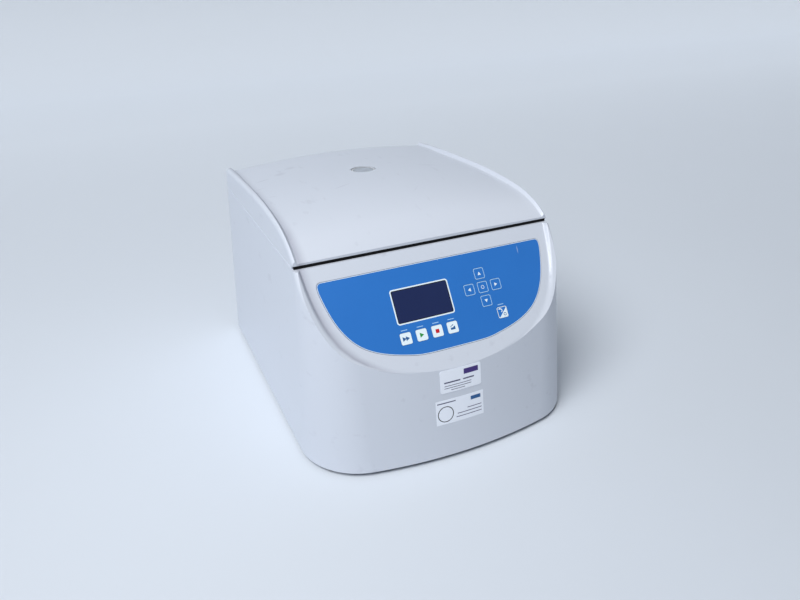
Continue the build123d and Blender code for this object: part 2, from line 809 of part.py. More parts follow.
with BuildPart() as motor_housing:
    with BuildSketch(Plane.XY.offset(motor_bottom)):
        with Locations((0, rotor_y)):
            Circle(motor_radius)
            with PolarLocations(motor_radius, motor_fins):
                Rectangle(*motor_fin)
    extrude(amount=motor_plate_level - motor_bottom)
    with BuildSketch(Plane.XY.offset(motor_bottom)):
        with Locations((0, rotor_y)):
            Circle(bell_radius)
    extrude(amount=bell_height)
    with BuildSketch(Plane.XY.offset(motor_plate_level)):
        with Locations((0, rotor_y)):
            Circle(bell_radius)
    extrude(amount=-bell_height)
    with BuildSketch(Plane.XY.offset(motor_plate_level)):
        with Locations((0, rotor_y)):
            Circle(shaft_radius + bearing_wall)
    extrude(amount=motor_plate_thick + nose_height)
    with BuildSketch(Plane.XY.offset(motor_bottom + bell_height)):
        with Locations((0, rotor_y)):
            Circle(shaft_radius + shaft_running)
    extrude(amount=motor_plate_level, mode=Mode.SUBTRACT)
save(motor_housing, "motor_housing")

bellows_radius = 34.0
bellows_fold = 4.0
bellows_rubber = 2.2
bellows_foot = 7.0
bellows_foot_thick = 1.2
bellows_rise = bowl_under - plate_top
bellows_folds = ((0, 0.15), (1, 0.32), (0, 0.5), (1, 0.68), (0, 0.85))
bellows_outside = [
    (bellows_radius - inward * bellows_fold, plate_top + share * bellows_rise)
    for inward, share in bellows_folds
]
bellows_inside = [(x - bellows_rubber, z) for x, z in reversed(bellows_outside)]

with BuildPart() as shaft_bellows:
    with BuildSketch(rotor_section):
        with BuildLine():
            Polyline((bellows_radius, plate_top), *bellows_outside, (bellows_radius, bowl_under),
                     (bellows_radius - bellows_foot, bowl_under),
                     (bellows_radius - bellows_foot, bowl_under - bellows_foot_thick), *bellows_inside,
                     (bellows_radius - bellows_foot, plate_top + bellows_foot_thick),
                     (bellows_radius - bellows_foot, plate_top), close=True)
        make_face()
    revolve(axis=rotor_axis)
save(shaft_bellows, "shaft_bellows")


# ---------------------------------------------------------------------------
# Rotor: shaft, machined aluminium yoke, clamping nut, and four trunnion pins
# on which the two plate carriers swing out as the rotor spins up.
# ---------------------------------------------------------------------------
hub_radius = 17.0
hub_height = 20.0
hub_drop = 11.0               # below the trunnions
arm_half_height = 9.0
arm_past_trunnion = 8.0
arm_thick = 10.0
arm_corner = 6.0
web_half = 14.0
web_corner = 8.0
pocket_depth = 5.0
pocket_land = 7.0             # left between the pocket and what is round it
collar_radius = 12.0
collar_height = 6.0
shaft_end_gap = 2.0
thread_short = 4.0            # of the nut's top
nut_bevel = 1.2
hub_bottom = trunnion_height - hub_drop
arm_bottom = trunnion_height - arm_half_height
arm_top = trunnion_height + arm_half_height
arm_end = trunnion_reach + arm_past_trunnion
shaft_bottom = motor_bottom + bell_height + shaft_end_gap
thread_radius = 5.0
thread_fit = 0.1
nut_radius = 14.0
nut_height = 15.0
carrier_wall = 2.0
carrier_past_plate = plate_clearance + carrier_wall
carrier_half = (plate_width / 2 + carrier_past_plate, plate_length / 2 + carrier_past_plate)
arm_inner = carrier_half[1] + carrier_gap
hub_top = hub_bottom + hub_height

with BuildPart() as rotor_shaft:
    with BuildSketch(Plane.XY.offset(shaft_bottom)):
        with Locations((0, rotor_y)):
            Circle(shaft_radius)
    extrude(amount=hub_bottom - shaft_bottom)
    with BuildSketch(Plane.XY.offset(hub_bottom - collar_height)):
        with Locations((0, rotor_y)):
            Circle(collar_radius)
    extrude(amount=collar_height)
    with BuildSketch(Plane.XY.offset(hub_bottom)):
        with Locations((0, rotor_y)):
            Circle(thread_radius)
    extrude(amount=hub_height + nut_height - thread_short)
save(rotor_shaft, "rotor_shaft")

with BuildPart() as rotor_yoke:
    with BuildSketch(Plane.XY.offset(arm_bottom)):
        with Locations((0, rotor_y)):
            Rectangle(2 * web_half, 2 * (arm_inner + arm_thick))
        for side in (-1, 1):
            with Locations((0, rotor_y + side * (arm_inner + arm_thick / 2))):
                Rectangle(2 * arm_end, arm_thick)
    extrude(amount=arm_top - arm_bottom)
    ends = rotor_yoke.edges().filter_by(Axis.Y).filter_by(lambda edge: abs((edge @ 0.5).X) > arm_end - 0.1)
    fillet(ends, arm_corner)
    webs = rotor_yoke.edges().filter_by(Axis.Z).filter_by(
        lambda edge: abs(abs((edge @ 0.5).X) - web_half) < 0.1
        and abs((edge @ 0.5).Y - rotor_y) < arm_inner + 0.1
    )
    fillet(webs, web_corner)
    with BuildSketch(Plane.XY.offset(arm_top - pocket_depth)):
        with Locations((0, rotor_y)):
            for side in (-1, 1):
                with Locations((0, side * (hub_radius + arm_inner) / 2)):
                    Rectangle(web_half, arm_inner - hub_radius - 2 * pocket_land)
    extrude(amount=pocket_depth, mode=Mode.SUBTRACT)
    with BuildSketch(Plane.XY.offset(hub_bottom)):
        with Locations((0, rotor_y)):
            Circle(hub_radius)
    extrude(amount=hub_height)
    with BuildSketch(Plane.XY.offset(hub_bottom)):
        with Locations((0, rotor_y)):
            Circle(thread_radius + thread_fit)
    extrude(amount=hub_height, mode=Mode.SUBTRACT)
    for side in (-1, 1):
        with BuildSketch(Plane.XZ.offset(-rotor_y)):
            with Locations((side * trunnion_reach, trunnion_height)):
                Circle(trunnion_radius + thread_fit)
        extrude(amount=2 * arm_inner, both=True, mode=Mode.SUBTRACT)
save(rotor_yoke, "rotor_yoke")

with BuildPart() as rotor_nut:
    with BuildSketch(Plane.XY.offset(hub_top)):
        with Locations((0, rotor_y)):
            RegularPolygon(nut_radius, 6)
            Circle(thread_radius + thread_fit, mode=Mode.SUBTRACT)
    extrude(amount=nut_height)
    nut_rim = rotor_nut.faces().sort_by(Axis.Z)[-1].outer_wire().edges()
    chamfer(nut_rim, nut_bevel)
save(rotor_nut, "rotor_nut")

pin_inner = carrier_half[1] - carrier_wall
with BuildPart() as trunnion_pins:
    for side in (-1, 1):
        with BuildSketch(Plane.XZ.offset(-rotor_y - side * pin_inner)):
            with Locations((-trunnion_reach, trunnion_height), (trunnion_reach, trunnion_height)):
                Circle(trunnion_radius)
        extrude(amount=-side * (arm_inner + arm_thick - pin_inner))
save(trunnion_pins, "trunnion_pins")

carrier_floor = trunnion_height - carrier_drop
carrier_rim = 18.0
carrier_corner = 3.0
ear_half = 12.0
ear_shoulder = 6.0            # below the trunnion
ear_top = trunnion_height + 8
floor_slot = (50.0, 16.0)
floor_slot_pitch = 36.0


def carrier(side):
    """Plate carrier hung from two ears, open above for one plate."""
    x = side * trunnion_reach
    with BuildPart() as tray:
        with BuildSketch(Plane.XY.offset(carrier_floor)):
            with Locations((x, rotor_y)):
                RectangleRounded(2 * carrier_half[0], 2 * carrier_half[1], carrier_corner)
        extrude(amount=carrier_sheet + carrier_rim)
        with BuildSketch(Plane.XY.offset(carrier_floor + carrier_sheet)):
            with Locations((x, rotor_y)):
                Rectangle(2 * (carrier_half[0] - carrier_wall), 2 * (carrier_half[1] - carrier_wall))
        extrude(amount=carrier_rim, mode=Mode.SUBTRACT)
        for end in (-1, 1):
            outer = rotor_y + end * carrier_half[1]
            with BuildSketch(Plane.XZ.offset(-outer)):
                with BuildLine():
                    foot = carrier_floor + carrier_sheet
                    shoulder = trunnion_height - ear_shoulder
                    wide = carrier_half[0] - carrier_corner
                    Polyline((x - wide, foot), (x - wide, foot + carrier_rim), (x - ear_half, shoulder),
                             (x - ear_half, ear_top), (x + ear_half, ear_top), (x + ear_half, shoulder),
                             (x + wide, foot + carrier_rim), (x + wide, foot), close=True)
                make_face()
                with Locations((x, trunnion_height)):
                    Circle(trunnion_radius + trunnion_running, mode=Mode.SUBTRACT)
            extrude(amount=end * carrier_wall)
        with BuildSketch(Plane.XY.offset(carrier_floor)):
            with Locations((x, rotor_y)):
                with GridLocations(0, floor_slot_pitch, 1, 3):
                    SlotOverall(*floor_slot)
        extrude(amount=carrier_sheet, mode=Mode.SUBTRACT)
    return tray


carrier_left = carrier(-1)
save(carrier_left, "carrier_left")
carrier_right = carrier(1)
save(carrier_right, "carrier_right")


# ---------------------------------------------------------------------------
# Lid: one hollow moulding. Its front edge stands proud of the deck over a
# black sealing strip; posts inside take the flat liner's screws.
# ---------------------------------------------------------------------------
lid_front_wall = 6.0
lip_round = 2.6
seal_fit = 0.3
seal_round = 0.6
seal_end = 1.5                # seal's end in from the lid's side
liner_sheet = 2.0
liner_bottom = parting_height + seal_height + lid_gap
liner_top = liner_bottom + liner_sheet
liner_fit = 0.5
post_size = 4.5
post_hole_depth = 14.0
liner_screw_length = 13.0
liner_screw_places = [(x, y) for x in (-152, 152) for y in (lid_front + 30, rotor_y, rear_face - 22)]
window_radius = 18.0
window_y = rotor_y + 12.0
sight_wall = 4.0
window_fit = 0.3
window_thick = 2.0
window_sunk = 1.6             # window's face below the lid's crown
window_bevel = 0.3
lid_crown = lid_stations[3][1] - lid_stations[3][2] + lid_stations[3][4]
window_bottom = lid_crown - window_sunk - window_thick

lid_cavity = lid_form(lid_wall)
lid_outside = lid_form(0)

with BuildPart() as lid_posts:
    with BuildSketch(Plane.XY.offset(liner_top)):
        with Locations(*liner_screw_places):
            Circle(post_size)
    extrude(amount=form_top - liner_top)
    add(lid_form(lid_wall / 2), mode=Mode.INTERSECT)

with BuildPart() as lid_hollow:
    add(lid_cavity)
    split(bisect_by=Plane.XZ.offset(-lid_front - lid_front_wall), keep=Keep.BOTTOM)

with BuildPart() as lid_shell:
    add(lid_outside)
    add(lid_hollow.part, mode=Mode.SUBTRACT)
    add(lid_posts.part)
    with BuildSketch(Plane.YZ) as lip:
        with Locations((lid_front, lid_edge_height)):
            Rectangle(2 * lip_depth, 2 * (lid_edge_height - lid_bottom), align=(Align.CENTER, Align.MAX))
        fillet(lip.vertices().group_by(Axis.X)[-1].sort_by(Axis.Y)[-1], lip_round)
    extrude(amount=body_width, both=True, mode=Mode.SUBTRACT)
    with BuildSketch(Plane.XY.offset(window_bottom - window_thick)):
        with Locations((0, window_y)):
            Circle(window_radius + window_fit)
    extrude(amount=form_top, mode=Mode.SUBTRACT)
    with BuildSketch(Plane.XY.offset(liner_top)):
        with Locations(*liner_screw_places):
            Circle(screw_radius + screw_clearance)
    extrude(amount=post_hole_depth, mode=Mode.SUBTRACT)
    add(parting_chamfer(lid_bottom, 1), mode=Mode.SUBTRACT)
    add(screw_holes(upright(rear_face), hinge_screw_places(1), 2 * wall), mode=Mode.SUBTRACT)
save(lid_shell, "lid_shell")

striker_leg = 5.0
striker_spread = 9.0
striker_bar = 2.5
striker_level = parting_height - 14
striker_slot = striker_leg + 2.0
striker_plate = (44.0, 20.0, 2.0)
striker_screw_places = [(side * (striker_plate[0] / 2 - 5), striker_y) for side in (-1, 1)]

with BuildPart() as lid_liner:
    add(block(lid_wall + liner_fit, liner_bottom, liner_top))
    split(bisect_by=Plane.XZ.offset(-lid_front - lid_front_wall - liner_fit), keep=Keep.BOTTOM)
    with BuildSketch(Plane.XY.offset(liner_bottom)):
        with Locations((0, window_y)):
            Circle(window_radius - sight_wall)
        with Locations((0, striker_y)):
            Rectangle(2 * striker_spread + striker_slot, striker_slot)
        with Locations(*liner_screw_places, *striker_screw_places):
            Circle(screw_radius + screw_clearance)
    extrude(amount=liner_sheet, mode=Mode.SUBTRACT)
    with BuildSketch(Plane.XY.offset(liner_bottom)):
        with Locations(*liner_screw_places):
            Circle(screw_head + screw_clearance)
    extrude(amount=liner_sheet / 2, mode=Mode.SUBTRACT)
save(lid_liner, "lid_liner")

with BuildPart() as liner_screws:
    with BuildSketch(Plane.XY.offset(liner_bottom)):
        with Locations(*liner_screw_places):
            Circle(screw_head)
    extrude(amount=liner_sheet / 2)
    with BuildSketch(Plane.XY.offset(liner_bottom)):
        with Locations(*liner_screw_places):
            Circle(screw_radius)
    extrude(amount=liner_screw_length)
    for place in striker_screw_places:
        add(screw(Plane.XY.offset(liner_top + striker_plate[2]), place, striker_plate[2] + liner_sheet))
save(liner_screws, "liner_screws")

with BuildPart() as sight_tube:
    with BuildSketch(Plane.XY.offset(liner_top)):
        with Locations((0, window_y)):
            Circle(window_radius)
            Circle(window_radius - sight_wall, mode=Mode.SUBTRACT)
    extrude(amount=window_bottom - liner_top)
save(sight_tube, "sight_tube")

with BuildPart() as inspection_window:
    with BuildSketch(Plane.XY.offset(window_bottom)):
        with Locations((0, window_y)):
            Circle(window_radius)
    extrude(amount=window_thick)
    chamfer(inspection_window.faces().sort_by(Axis.Z)[-1].edges(), window_bevel)
save(inspection_window, "inspection_window")

seal_front = lid_front + seal_fit
seal_back = lid_front + lip_depth - lid_gap
seal_bottom = parting_height - sill_drop + seal_fit
with BuildPart() as lid_edge_seal:
    with BuildSketch(Plane.YZ) as strip:
        with Locations((seal_front, lid_edge_height)):
            Rectangle(seal_back - seal_front, lid_edge_height - seal_bottom, align=(Align.MIN, Align.MAX))
        fillet(strip.vertices().group_by(Axis.X)[-1].sort_by(Axis.Y)[-1], lip_round)
        fillet(strip.vertices().group_by(Axis.Y)[0], seal_round)
    extrude(amount=half_width(lid_edge_height) - seal_end, both=True)
save(lid_edge_seal, "lid_edge_seal")

with BuildPart() as lid_striker:
    with BuildSketch(Plane.XY.offset(liner_top)):
        with Locations((0, striker_y)):
            Rectangle(striker_plate[0], striker_plate[1])
        with Locations(*striker_screw_places):
            Circle(screw_radius + screw_clearance, mode=Mode.SUBTRACT)
    extrude(amount=striker_plate[2])
    with BuildSketch(Plane.XY.offset(liner_top)):
        with Locations((-striker_spread, striker_y), (striker_spread, striker_y)):
            Rectangle(striker_leg, striker_leg)
    extrude(amount=striker_level - striker_bar - liner_top)
    with BuildSketch(Plane.YZ):
        with Locations((striker_y, striker_level)):
            Circle(striker_bar)
    extrude(amount=striker_spread, both=True)
save(lid_striker, "lid_striker")


# ---------------------------------------------------------------------------
# Hinges: two three-knuckle leaf hinges screwed to the outside of the rear
# walls, the lid's knuckle in the middle, each on a steel pin.
# ---------------------------------------------------------------------------
lid_knuckle = 24.0
hinge_notch = hinge_barrel + hinge_clearance


def knuckle(x, width, up):
    """Barrel and the strip of leaf that carries it, up = 1 for the lid's leaf."""
    with BuildPart() as piece:
        with BuildSketch(Plane.YZ.offset(x)):
            with Locations((hinge_y, hinge_z)):
                Circle(hinge_barrel)
            with Locations((rear_face + hinge_leaf / 2, hinge_z + up * (lid_gap + hinge_leaf_height) / 2)):
                Rectangle(hinge_leaf, hinge_leaf_height - lid_gap)
            with Locations((hinge_y, hinge_z)):
                Circle(hinge_pin + hinge_running, mode=Mode.SUBTRACT)
        extrude(amount=width / 2, both=True)
    return piece.part


def leaf(x, up):
    """Plain leaf of one hinge, clear of the other leaf's knuckles."""
    low = hinge_notch + hinge_leaf / 2
    with BuildPart() as piece:
        with BuildSketch(upright(rear_face)):
            with Locations((-x, hinge_z + up * (low + hinge_leaf_height) / 2)):
                Rectangle(hinge_width, hinge_leaf_height - low)
        extrude(amount=hinge_leaf)
    return piece.part


end_knuckle = (hinge_width - lid_knuckle) / 2 - knuckle_gap
with BuildPart() as lid_hinge_leaves:
    for x in hinge_places:
        add(leaf(x, 1))
        add(knuckle(x, lid_knuckle, 1))
    add(screw_holes(upright(rear_face + hinge_leaf), hinge_screw_places(1), hinge_leaf), mode=Mode.SUBTRACT)
save(lid_hinge_leaves, "lid_hinge_leaves")

with BuildPart() as casing_hinge_leaves:
    for x in hinge_places:
        add(leaf(x, -1))
        for side in (-1, 1):
            add(knuckle(x + side * (hinge_width - end_knuckle) / 2, end_knuckle, -1))
    add(screw_holes(upright(rear_face + hinge_leaf), hinge_screw_places(-1), hinge_leaf), mode=Mode.SUBTRACT)
save(casing_hinge_leaves, "casing_hinge_leaves")

with BuildPart() as hinge_pins:
    for x in hinge_places:
        with BuildSketch(Plane.YZ.offset(x)):
            with Locations((hinge_y, hinge_z)):
                Circle(hinge_pin)
        extrude(amount=hinge_width / 2, both=True)
save(hinge_pins, "hinge_pins")


def hinge_screws(up):
    """The two screws of each hinge that hold one of its leaves."""
    with BuildPart() as group:
        for place in hinge_screw_places(up):
            add(screw(upright(rear_face + hinge_leaf), place, hinge_leaf + screw_bite))
    return group


lid_hinge_screws = hinge_screws(1)
save(lid_hinge_screws, "lid_hinge_screws")
casing_hinge_screws = hinge_screws(-1)
save(casing_hinge_screws, "casing_hinge_screws")


# ---------------------------------------------------------------------------
# Lid lock: a hook on a steel bracket under the deck, turned by a small
# geared motor over the striker bar that the lid carries.
# ---------------------------------------------------------------------------
cheek_inner = 12.5
latch_sheet = 1.5
cheek_outer = cheek_inner + latch_sheet
cheek_flange = 13.5
latch_depth = (striker_y - 19, striker_y + 13)
latch_pivot = (striker_y - 12, parting_height - 33.5)
latch_pin = 2.5
hook_half = 5.0
hook_swing = 18.0             # degrees from engaged to released
hook_gap = 0.3
hook_shank = (4.0, 8.0)       # half width, and tail below the pivot
hook_thick = 4.0
hook_nose_round = (1.0, 2.0)
hook_nose_back = 6.0
latch_motor_bevel = 1.5
latch_motor_radius = 11.0
latch_motor_length = 32.0
latch_bottom = latch_pivot[1] - 11

with BuildPart() as latch_frame:
    with BuildSketch(Plane.XZ.offset(-latch_depth[0])):
        with BuildLine():
            flange_end = cheek_inner + cheek_flange
            Polyline((cheek_inner, latch_bottom + latch_sheet), (cheek_inner, deck_bottom),
                     (flange_end, deck_bottom), (flange_end, deck_bottom - latch_sheet),
                     (cheek_outer, deck_bottom - latch_sheet), (cheek_outer, latch_bottom),
                     (0, latch_bottom), (0, latch_bottom + latch_sheet), close=True)
        make_face()
        mirror(about=Plane.YZ)
    extrude(amount=latch_depth[0] - latch_depth[1])
    with BuildSketch(Plane.YZ):
        with Locations(latch_pivot):
            Circle(latch_pin + shaft_running)
    extrude(amount=2 * cheek_outer, both=True, mode=Mode.SUBTRACT)
save(latch_frame, "latch_frame")

with BuildPart() as latch_pivot_pin:
    with BuildSketch(Plane.YZ):
        with Locations(latch_pivot):
            Circle(latch_pin)
    extrude(amount=cheek_outer, both=True)
save(latch_pivot_pin, "latch_pivot_pin")

with BuildPart() as latch_motor:
    with BuildSketch(Plane.YZ.offset(cheek_outer)):
        with Locations(latch_pivot):
            Circle(latch_motor_radius)
    extrude(amount=latch_motor_length)
    chamfer(latch_motor.faces().sort_by(Axis.X)[-1].edges(), latch_motor_bevel)
save(latch_motor, "latch_motor")

hook_plane = Plane(
    origin=(0, *latch_pivot),
    x_dir=(0, cos(radians(hook_swing)), sin(radians(hook_swing))),
    z_dir=(1, 0, 0),
)
with BuildPart() as latch_hook:
    with BuildSketch(hook_plane) as hook_shape:
        with BuildLine():
            nose = striker_level + striker_bar + hook_gap - latch_pivot[1]
            reach = striker_y + striker_bar - latch_pivot[0]
            half, tail = hook_shank
            tip = reach - hook_nose_round[0]
            Polyline((-half, -tail), (half, -tail), (half, nose), (tip, nose),
                     (tip, nose + hook_nose_round[1]), (reach - hook_nose_back, nose + hook_thick),
                     (-half, nose + hook_thick), close=True)
        make_face()
        Circle(latch_pin + shaft_running, mode=Mode.SUBTRACT)
    extrude(amount=hook_half, both=True)
save(latch_hook, "latch_hook")


# ---------------------------------------------------------------------------
# Control panel: a printed film with cut-outs, the display behind its window,
# ten keys, and the control board on bosses behind the panel.
# ---------------------------------------------------------------------------
overlay_under = overlay_proud - overlay_thick
window_gap = 0.1
module_margin = (8.0, 6.0)    # of the display's body past its window
module_depth = 6.0
module_inset = display_lip + 0.5
module_below_window = 0.3
with BuildPart() as control_overlay:
    with BuildSketch(facet_face(overlay_under)):
        add(overlay_outline(0))
        with Locations(display_place):
            Rectangle(display_width, display_height, mode=Mode.SUBTRACT)
        with Locations(*key_places.values()):
            RectangleRounded(key_size + 2 * key_fit, key_size + 2 * key_fit, key_corner + key_fit,
                             mode=Mode.SUBTRACT)
    extrude(amount=overlay_thick)
save(control_overlay, "control_overlay")

with BuildPart() as display_window:
    with BuildSketch(facet_face(overlay_under)):
        with Locations(display_place):
            Rectangle(display_width - 2 * window_gap, display_height - 2 * window_gap)
    extrude(amount=overlay_thick)
save(display_window, "display_window")

with BuildPart() as display_module:
    with BuildSketch(facet_face(-wall)):
        with Locations(display_place):
            Rectangle(display_width + 2 * module_margin[0], display_height + 2 * module_margin[1])
    extrude(amount=-module_depth)
    with BuildSketch(facet_face(-wall)):
        with Locations(display_place):
            Rectangle(display_width - 2 * module_inset, display_height - 2 * module_inset)
    extrude(amount=wall + overlay_under - module_below_window)
save(display_module, "display_module")

for name, place in key_places.items():
    with BuildPart() as key:
        with BuildSketch(facet_face(overlay_proud + key_proud - key_thick)):
            with Locations(place):
                RectangleRounded(key_size, key_size, key_corner)
        extrude(amount=key_thick)
    save(key, name)

board_thick = 1.6
control_place = (5.0, -72.0)
control_size = (190.0, 66.0)
chip_height = 5.0
chips = (((-60, -72), (22, 30)), ((10, -80), (34, 16)), ((70, -66), (16, 16)))  # places and sizes

with BuildPart() as control_board:
    with BuildSketch(facet_face(-board_gap)):
        with Locations(control_place):
            Rectangle(*control_size)
    extrude(amount=-board_thick)
    with BuildSketch(facet_face(-board_gap - board_thick)):
        for place, size in chips:
            with Locations(place):
                Rectangle(*size)
    extrude(amount=-chip_height)
save(control_board, "control_board")


# ---------------------------------------------------------------------------
# Drive board on the base plate's studs, with its transformer, capacitors
# and finned heat sink.
# ---------------------------------------------------------------------------
board_level = base_top + stud_height
transformer_place = (-45.0, board_y + 2)
transformer_size = (44.0, 50.0, 38.0)
capacitor_places = ((2.0, board_y - 18), (2.0, board_y + 12))
capacitor_radius = 12.0
capacitor_height = 32.0
sink_place = (48.0, board_y)
sink_back = (6.0, 60.0)
sink_height = 34.0
sink_fin = (12.0, 2.0)
sink_fins = 8
sink_pitch = 8.0

with BuildPart() as drive_board:
    with BuildSketch(Plane.XY.offset(board_level)):
        with Locations((0, board_y)):
            Rectangle(*board_size)
    extrude(amount=board_thick)
save(drive_board, "drive_board")

with BuildPart() as drive_components:
    with BuildSketch(Plane.XY.offset(board_level + board_thick)):
        with Locations(transformer_place):
            Rectangle(transformer_size[0], transformer_size[1])
    extrude(amount=transformer_size[2])
    with BuildSketch(Plane.XY.offset(board_level + board_thick)):
        with Locations(*capacitor_places):
            Circle(capacitor_radius)
    extrude(amount=capacitor_height)
    with BuildSketch(Plane.XY.offset(board_level + board_thick)):
        with Locations(sink_place):
            Rectangle(*sink_back)
            with Locations((sink_fin[0] / 2, 0)):
                with GridLocations(0, sink_pitch, 1, sink_fins):
                    Rectangle(*sink_fin)
    extrude(amount=sink_height)
save(drive_components, "drive_components")
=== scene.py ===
import math

import bmesh
import bpy
from mathutils import Matrix, Vector
from mathutils.bvhtree import BVHTree


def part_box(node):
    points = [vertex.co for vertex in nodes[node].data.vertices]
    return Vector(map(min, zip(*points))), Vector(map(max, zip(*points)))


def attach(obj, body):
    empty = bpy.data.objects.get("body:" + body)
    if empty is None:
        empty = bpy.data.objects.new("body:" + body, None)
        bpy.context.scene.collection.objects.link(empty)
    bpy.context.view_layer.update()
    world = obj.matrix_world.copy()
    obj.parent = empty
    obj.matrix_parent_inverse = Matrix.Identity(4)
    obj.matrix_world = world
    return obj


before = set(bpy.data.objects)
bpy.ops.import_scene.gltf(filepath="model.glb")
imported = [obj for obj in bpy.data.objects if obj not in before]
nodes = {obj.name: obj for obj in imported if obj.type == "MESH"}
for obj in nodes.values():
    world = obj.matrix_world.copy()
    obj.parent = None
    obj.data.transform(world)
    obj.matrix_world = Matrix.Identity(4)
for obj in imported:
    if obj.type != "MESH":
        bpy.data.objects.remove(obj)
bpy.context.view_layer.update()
MM = 0.001

# ---------------------------------------------------------------------------
# Base plate. Pressed from zinc-plated sheet steel, it closes the casing from
# below and carries the motor posts, the guard ring's posts and the drive
# board. Screws up through it hold the casing and the feet.
# ---------------------------------------------------------------------------


class Wire:
    """One socket in a finish's node tree, so that shader maths reads as sums."""

    def __init__(self, finish, socket):
        self.finish = finish
        self.socket = socket

    def sum(self, operation, left, right):
        return self.finish.node("ShaderNodeMath", {"operation": operation}, {0: left, 1: right})

    def __add__(self, other):
        return self.sum("ADD", self, other)

    def __radd__(self, other):
        return self.sum("ADD", other, self)

    def __sub__(self, other):
        return self.sum("SUBTRACT", self, other)

    def __rsub__(self, other):
        return self.sum("SUBTRACT", other, self)

    def __mul__(self, other):
        return self.sum("MULTIPLY", self, other)

    def __rmul__(self, other):
        return self.sum("MULTIPLY", other, self)

    def __truediv__(self, other):
        return self.sum("DIVIDE", self, other)

    def __pow__(self, other):
        return self.sum("POWER", self, other)


class Finish:
    """One material: plain numbers on its shader's sockets, and wires for what varies."""

    def __init__(self, name, **plain):
        self.material = bpy.data.materials.new(name)
        self.material.use_nodes = True
        self.tree = self.material.node_tree
        self.shader = self.tree.nodes["Principled BSDF"]
        for socket, value in plain.items():
            self.set(socket.replace("_", " ").title().replace("Ior", "IOR"), value)

    def set(self, socket, value):
        """Gives a shader socket a number, a colour or a wire."""
        self.feed(self.shader.inputs[socket], value)

    def feed(self, target, value):
        if isinstance(value, Wire):
            self.tree.links.new(value.socket, target)
        elif isinstance(value, tuple) and len(value) == 3 and target.type == "RGBA":
            target.default_value = (*value, 1)
        else:
            target.default_value = value

    def node(self, kind, settings, values, out=0):
        """Adds a node: its settings first, then the values or links of its sockets."""
        made = self.tree.nodes.new(kind)
        for setting, value in settings.items():
            if setting == "stops":
                for _ in value[2:]:
                    made.color_ramp.elements.new(1.0)
                for element, (place, shade) in zip(made.color_ramp.elements, value):
                    element.position = place
                    element.color = (shade, shade, shade, 1)
            else:
                setattr(made, setting, value)
        for socket, value in values.items():
            self.feed(made.inputs[socket], value)
        return Wire(self, made.outputs[out])

    def place(self, stretch=(1, 1, 1)):
        """Where a point is on the object, in metres, stretched along the axes."""
        spot = self.node("ShaderNodeTexCoord", {}, {}, "Object")
        if stretch == (1, 1, 1):
            return spot
        return self.node("ShaderNodeVectorMath", {"operation": "MULTIPLY"}, {0: spot, 1: stretch})

    def noise(self, size, detail=2.0, stretch=(1, 1, 1)):
        """Cloudy noise from 0 to 1, with lumps about size millimetres across."""
        return self.node("ShaderNodeTexNoise", {}, {
            "Vector": self.place(stretch), "Scale": 1 / (size * MM), "Detail": detail,
        }, "Fac")

    def ramp(self, value, low, high):
        """0 below low, 1 above high."""
        return self.node("ShaderNodeValToRGB", {"stops": ((low, 0), (high, 1))}, {"Fac": value})

    def mark(self, middle, half_length, half_width, turn=0.0):
        """Soft long spot, 1 in its middle and 0 past its edge; all in millimetres and degrees."""
        spot = self.node("ShaderNodeMapping", {"vector_type": "TEXTURE"}, {
            "Vector": self.place(), "Location": tuple(value * MM for value in middle),
            "Rotation": (0, 0, math.radians(turn)), "Scale": (half_length * MM, half_width * MM, 1.0),
        })
        away = self.node("ShaderNodeVectorMath", {"operation": "LENGTH"}, {0: spot}, "Value")
        return self.ramp(1 - away, 0.0, 0.6)

    def blend(self, share, first, second):
        """Colour that goes from first to second."""
        return self.node("ShaderNodeMix", {"data_type": "RGBA"}, {"Factor": share, 6: first, 7: second}, 2)

    def bump(self, height, depth, strength=1.0):
        """Relief of about depth millimetres."""
        self.set("Normal", self.node("ShaderNodeBump", {}, {
            "Height": height, "Distance": depth * MM, "Strength": strength,
        }))


def clothe(finish, *names):
    """Gives CAD nodes their finish."""
    for name in names:
        slots = nodes[name].data.materials
        slots.clear()
        slots.append(finish.material)


def plated_steel():
    """Bright zinc: cloudy, faintly spangled, a little blue."""
    finish = Finish("zinc_plate", metallic=1.0)
    spangle = finish.noise(6, 3)
    finish.set("Base Color", finish.blend(spangle, (0.50, 0.52, 0.55), (0.64, 0.66, 0.69)))
    finish.set("Roughness", finish.noise(1.5, 4) * 0.18 + 0.26)
    finish.bump(finish.noise(0.8, 2), 0.01)
    return finish


zinc = plated_steel()
clothe(zinc, "base_plate")

# ---------------------------------------------------------------------------
# Feet. Four moulded rubber buffers under the base plate, matt black, with
# dust in their fine grain.
# ---------------------------------------------------------------------------


def moulded_rubber():
    finish = Finish("black_rubber", specular_ior_level=0.35)
    dust = finish.ramp(finish.noise(3, 5), 0.5, 0.8)
    finish.set("Base Color", finish.blend(dust, (0.012, 0.012, 0.013), (0.05, 0.05, 0.052)))
    finish.set("Roughness", finish.noise(2, 3) * 0.2 + 0.6)
    finish.bump(finish.noise(0.3, 2), 0.02)
    return finish


rubber = moulded_rubber()
clothe(rubber, "feet", "bowl_seal", "motor_dampers", "shaft_bellows")

# ---------------------------------------------------------------------------
# Motor. A finned die-cast housing hung under a plated steel plate that
# stands on four posts through rubber dampers.
# ---------------------------------------------------------------------------


def cast_metal():
    finish = Finish("cast_aluminium", metallic=1.0)
    grain = finish.noise(0.7, 4)
    finish.set("Base Color", finish.blend(grain, (0.36, 0.37, 0.38), (0.50, 0.51, 0.52)))
    finish.set("Roughness", grain * 0.2 + 0.42)
    finish.bump(grain, 0.03)
    return finish


cast = cast_metal()
clothe(cast, "motor_housing")
clothe(zinc, "motor_plate", "motor_posts", "guard_posts")

# ---------------------------------------------------------------------------
# Guard ring. A rolled steel ring round the bowl, blackened, that would stop
# a broken rotor.
# ---------------------------------------------------------------------------


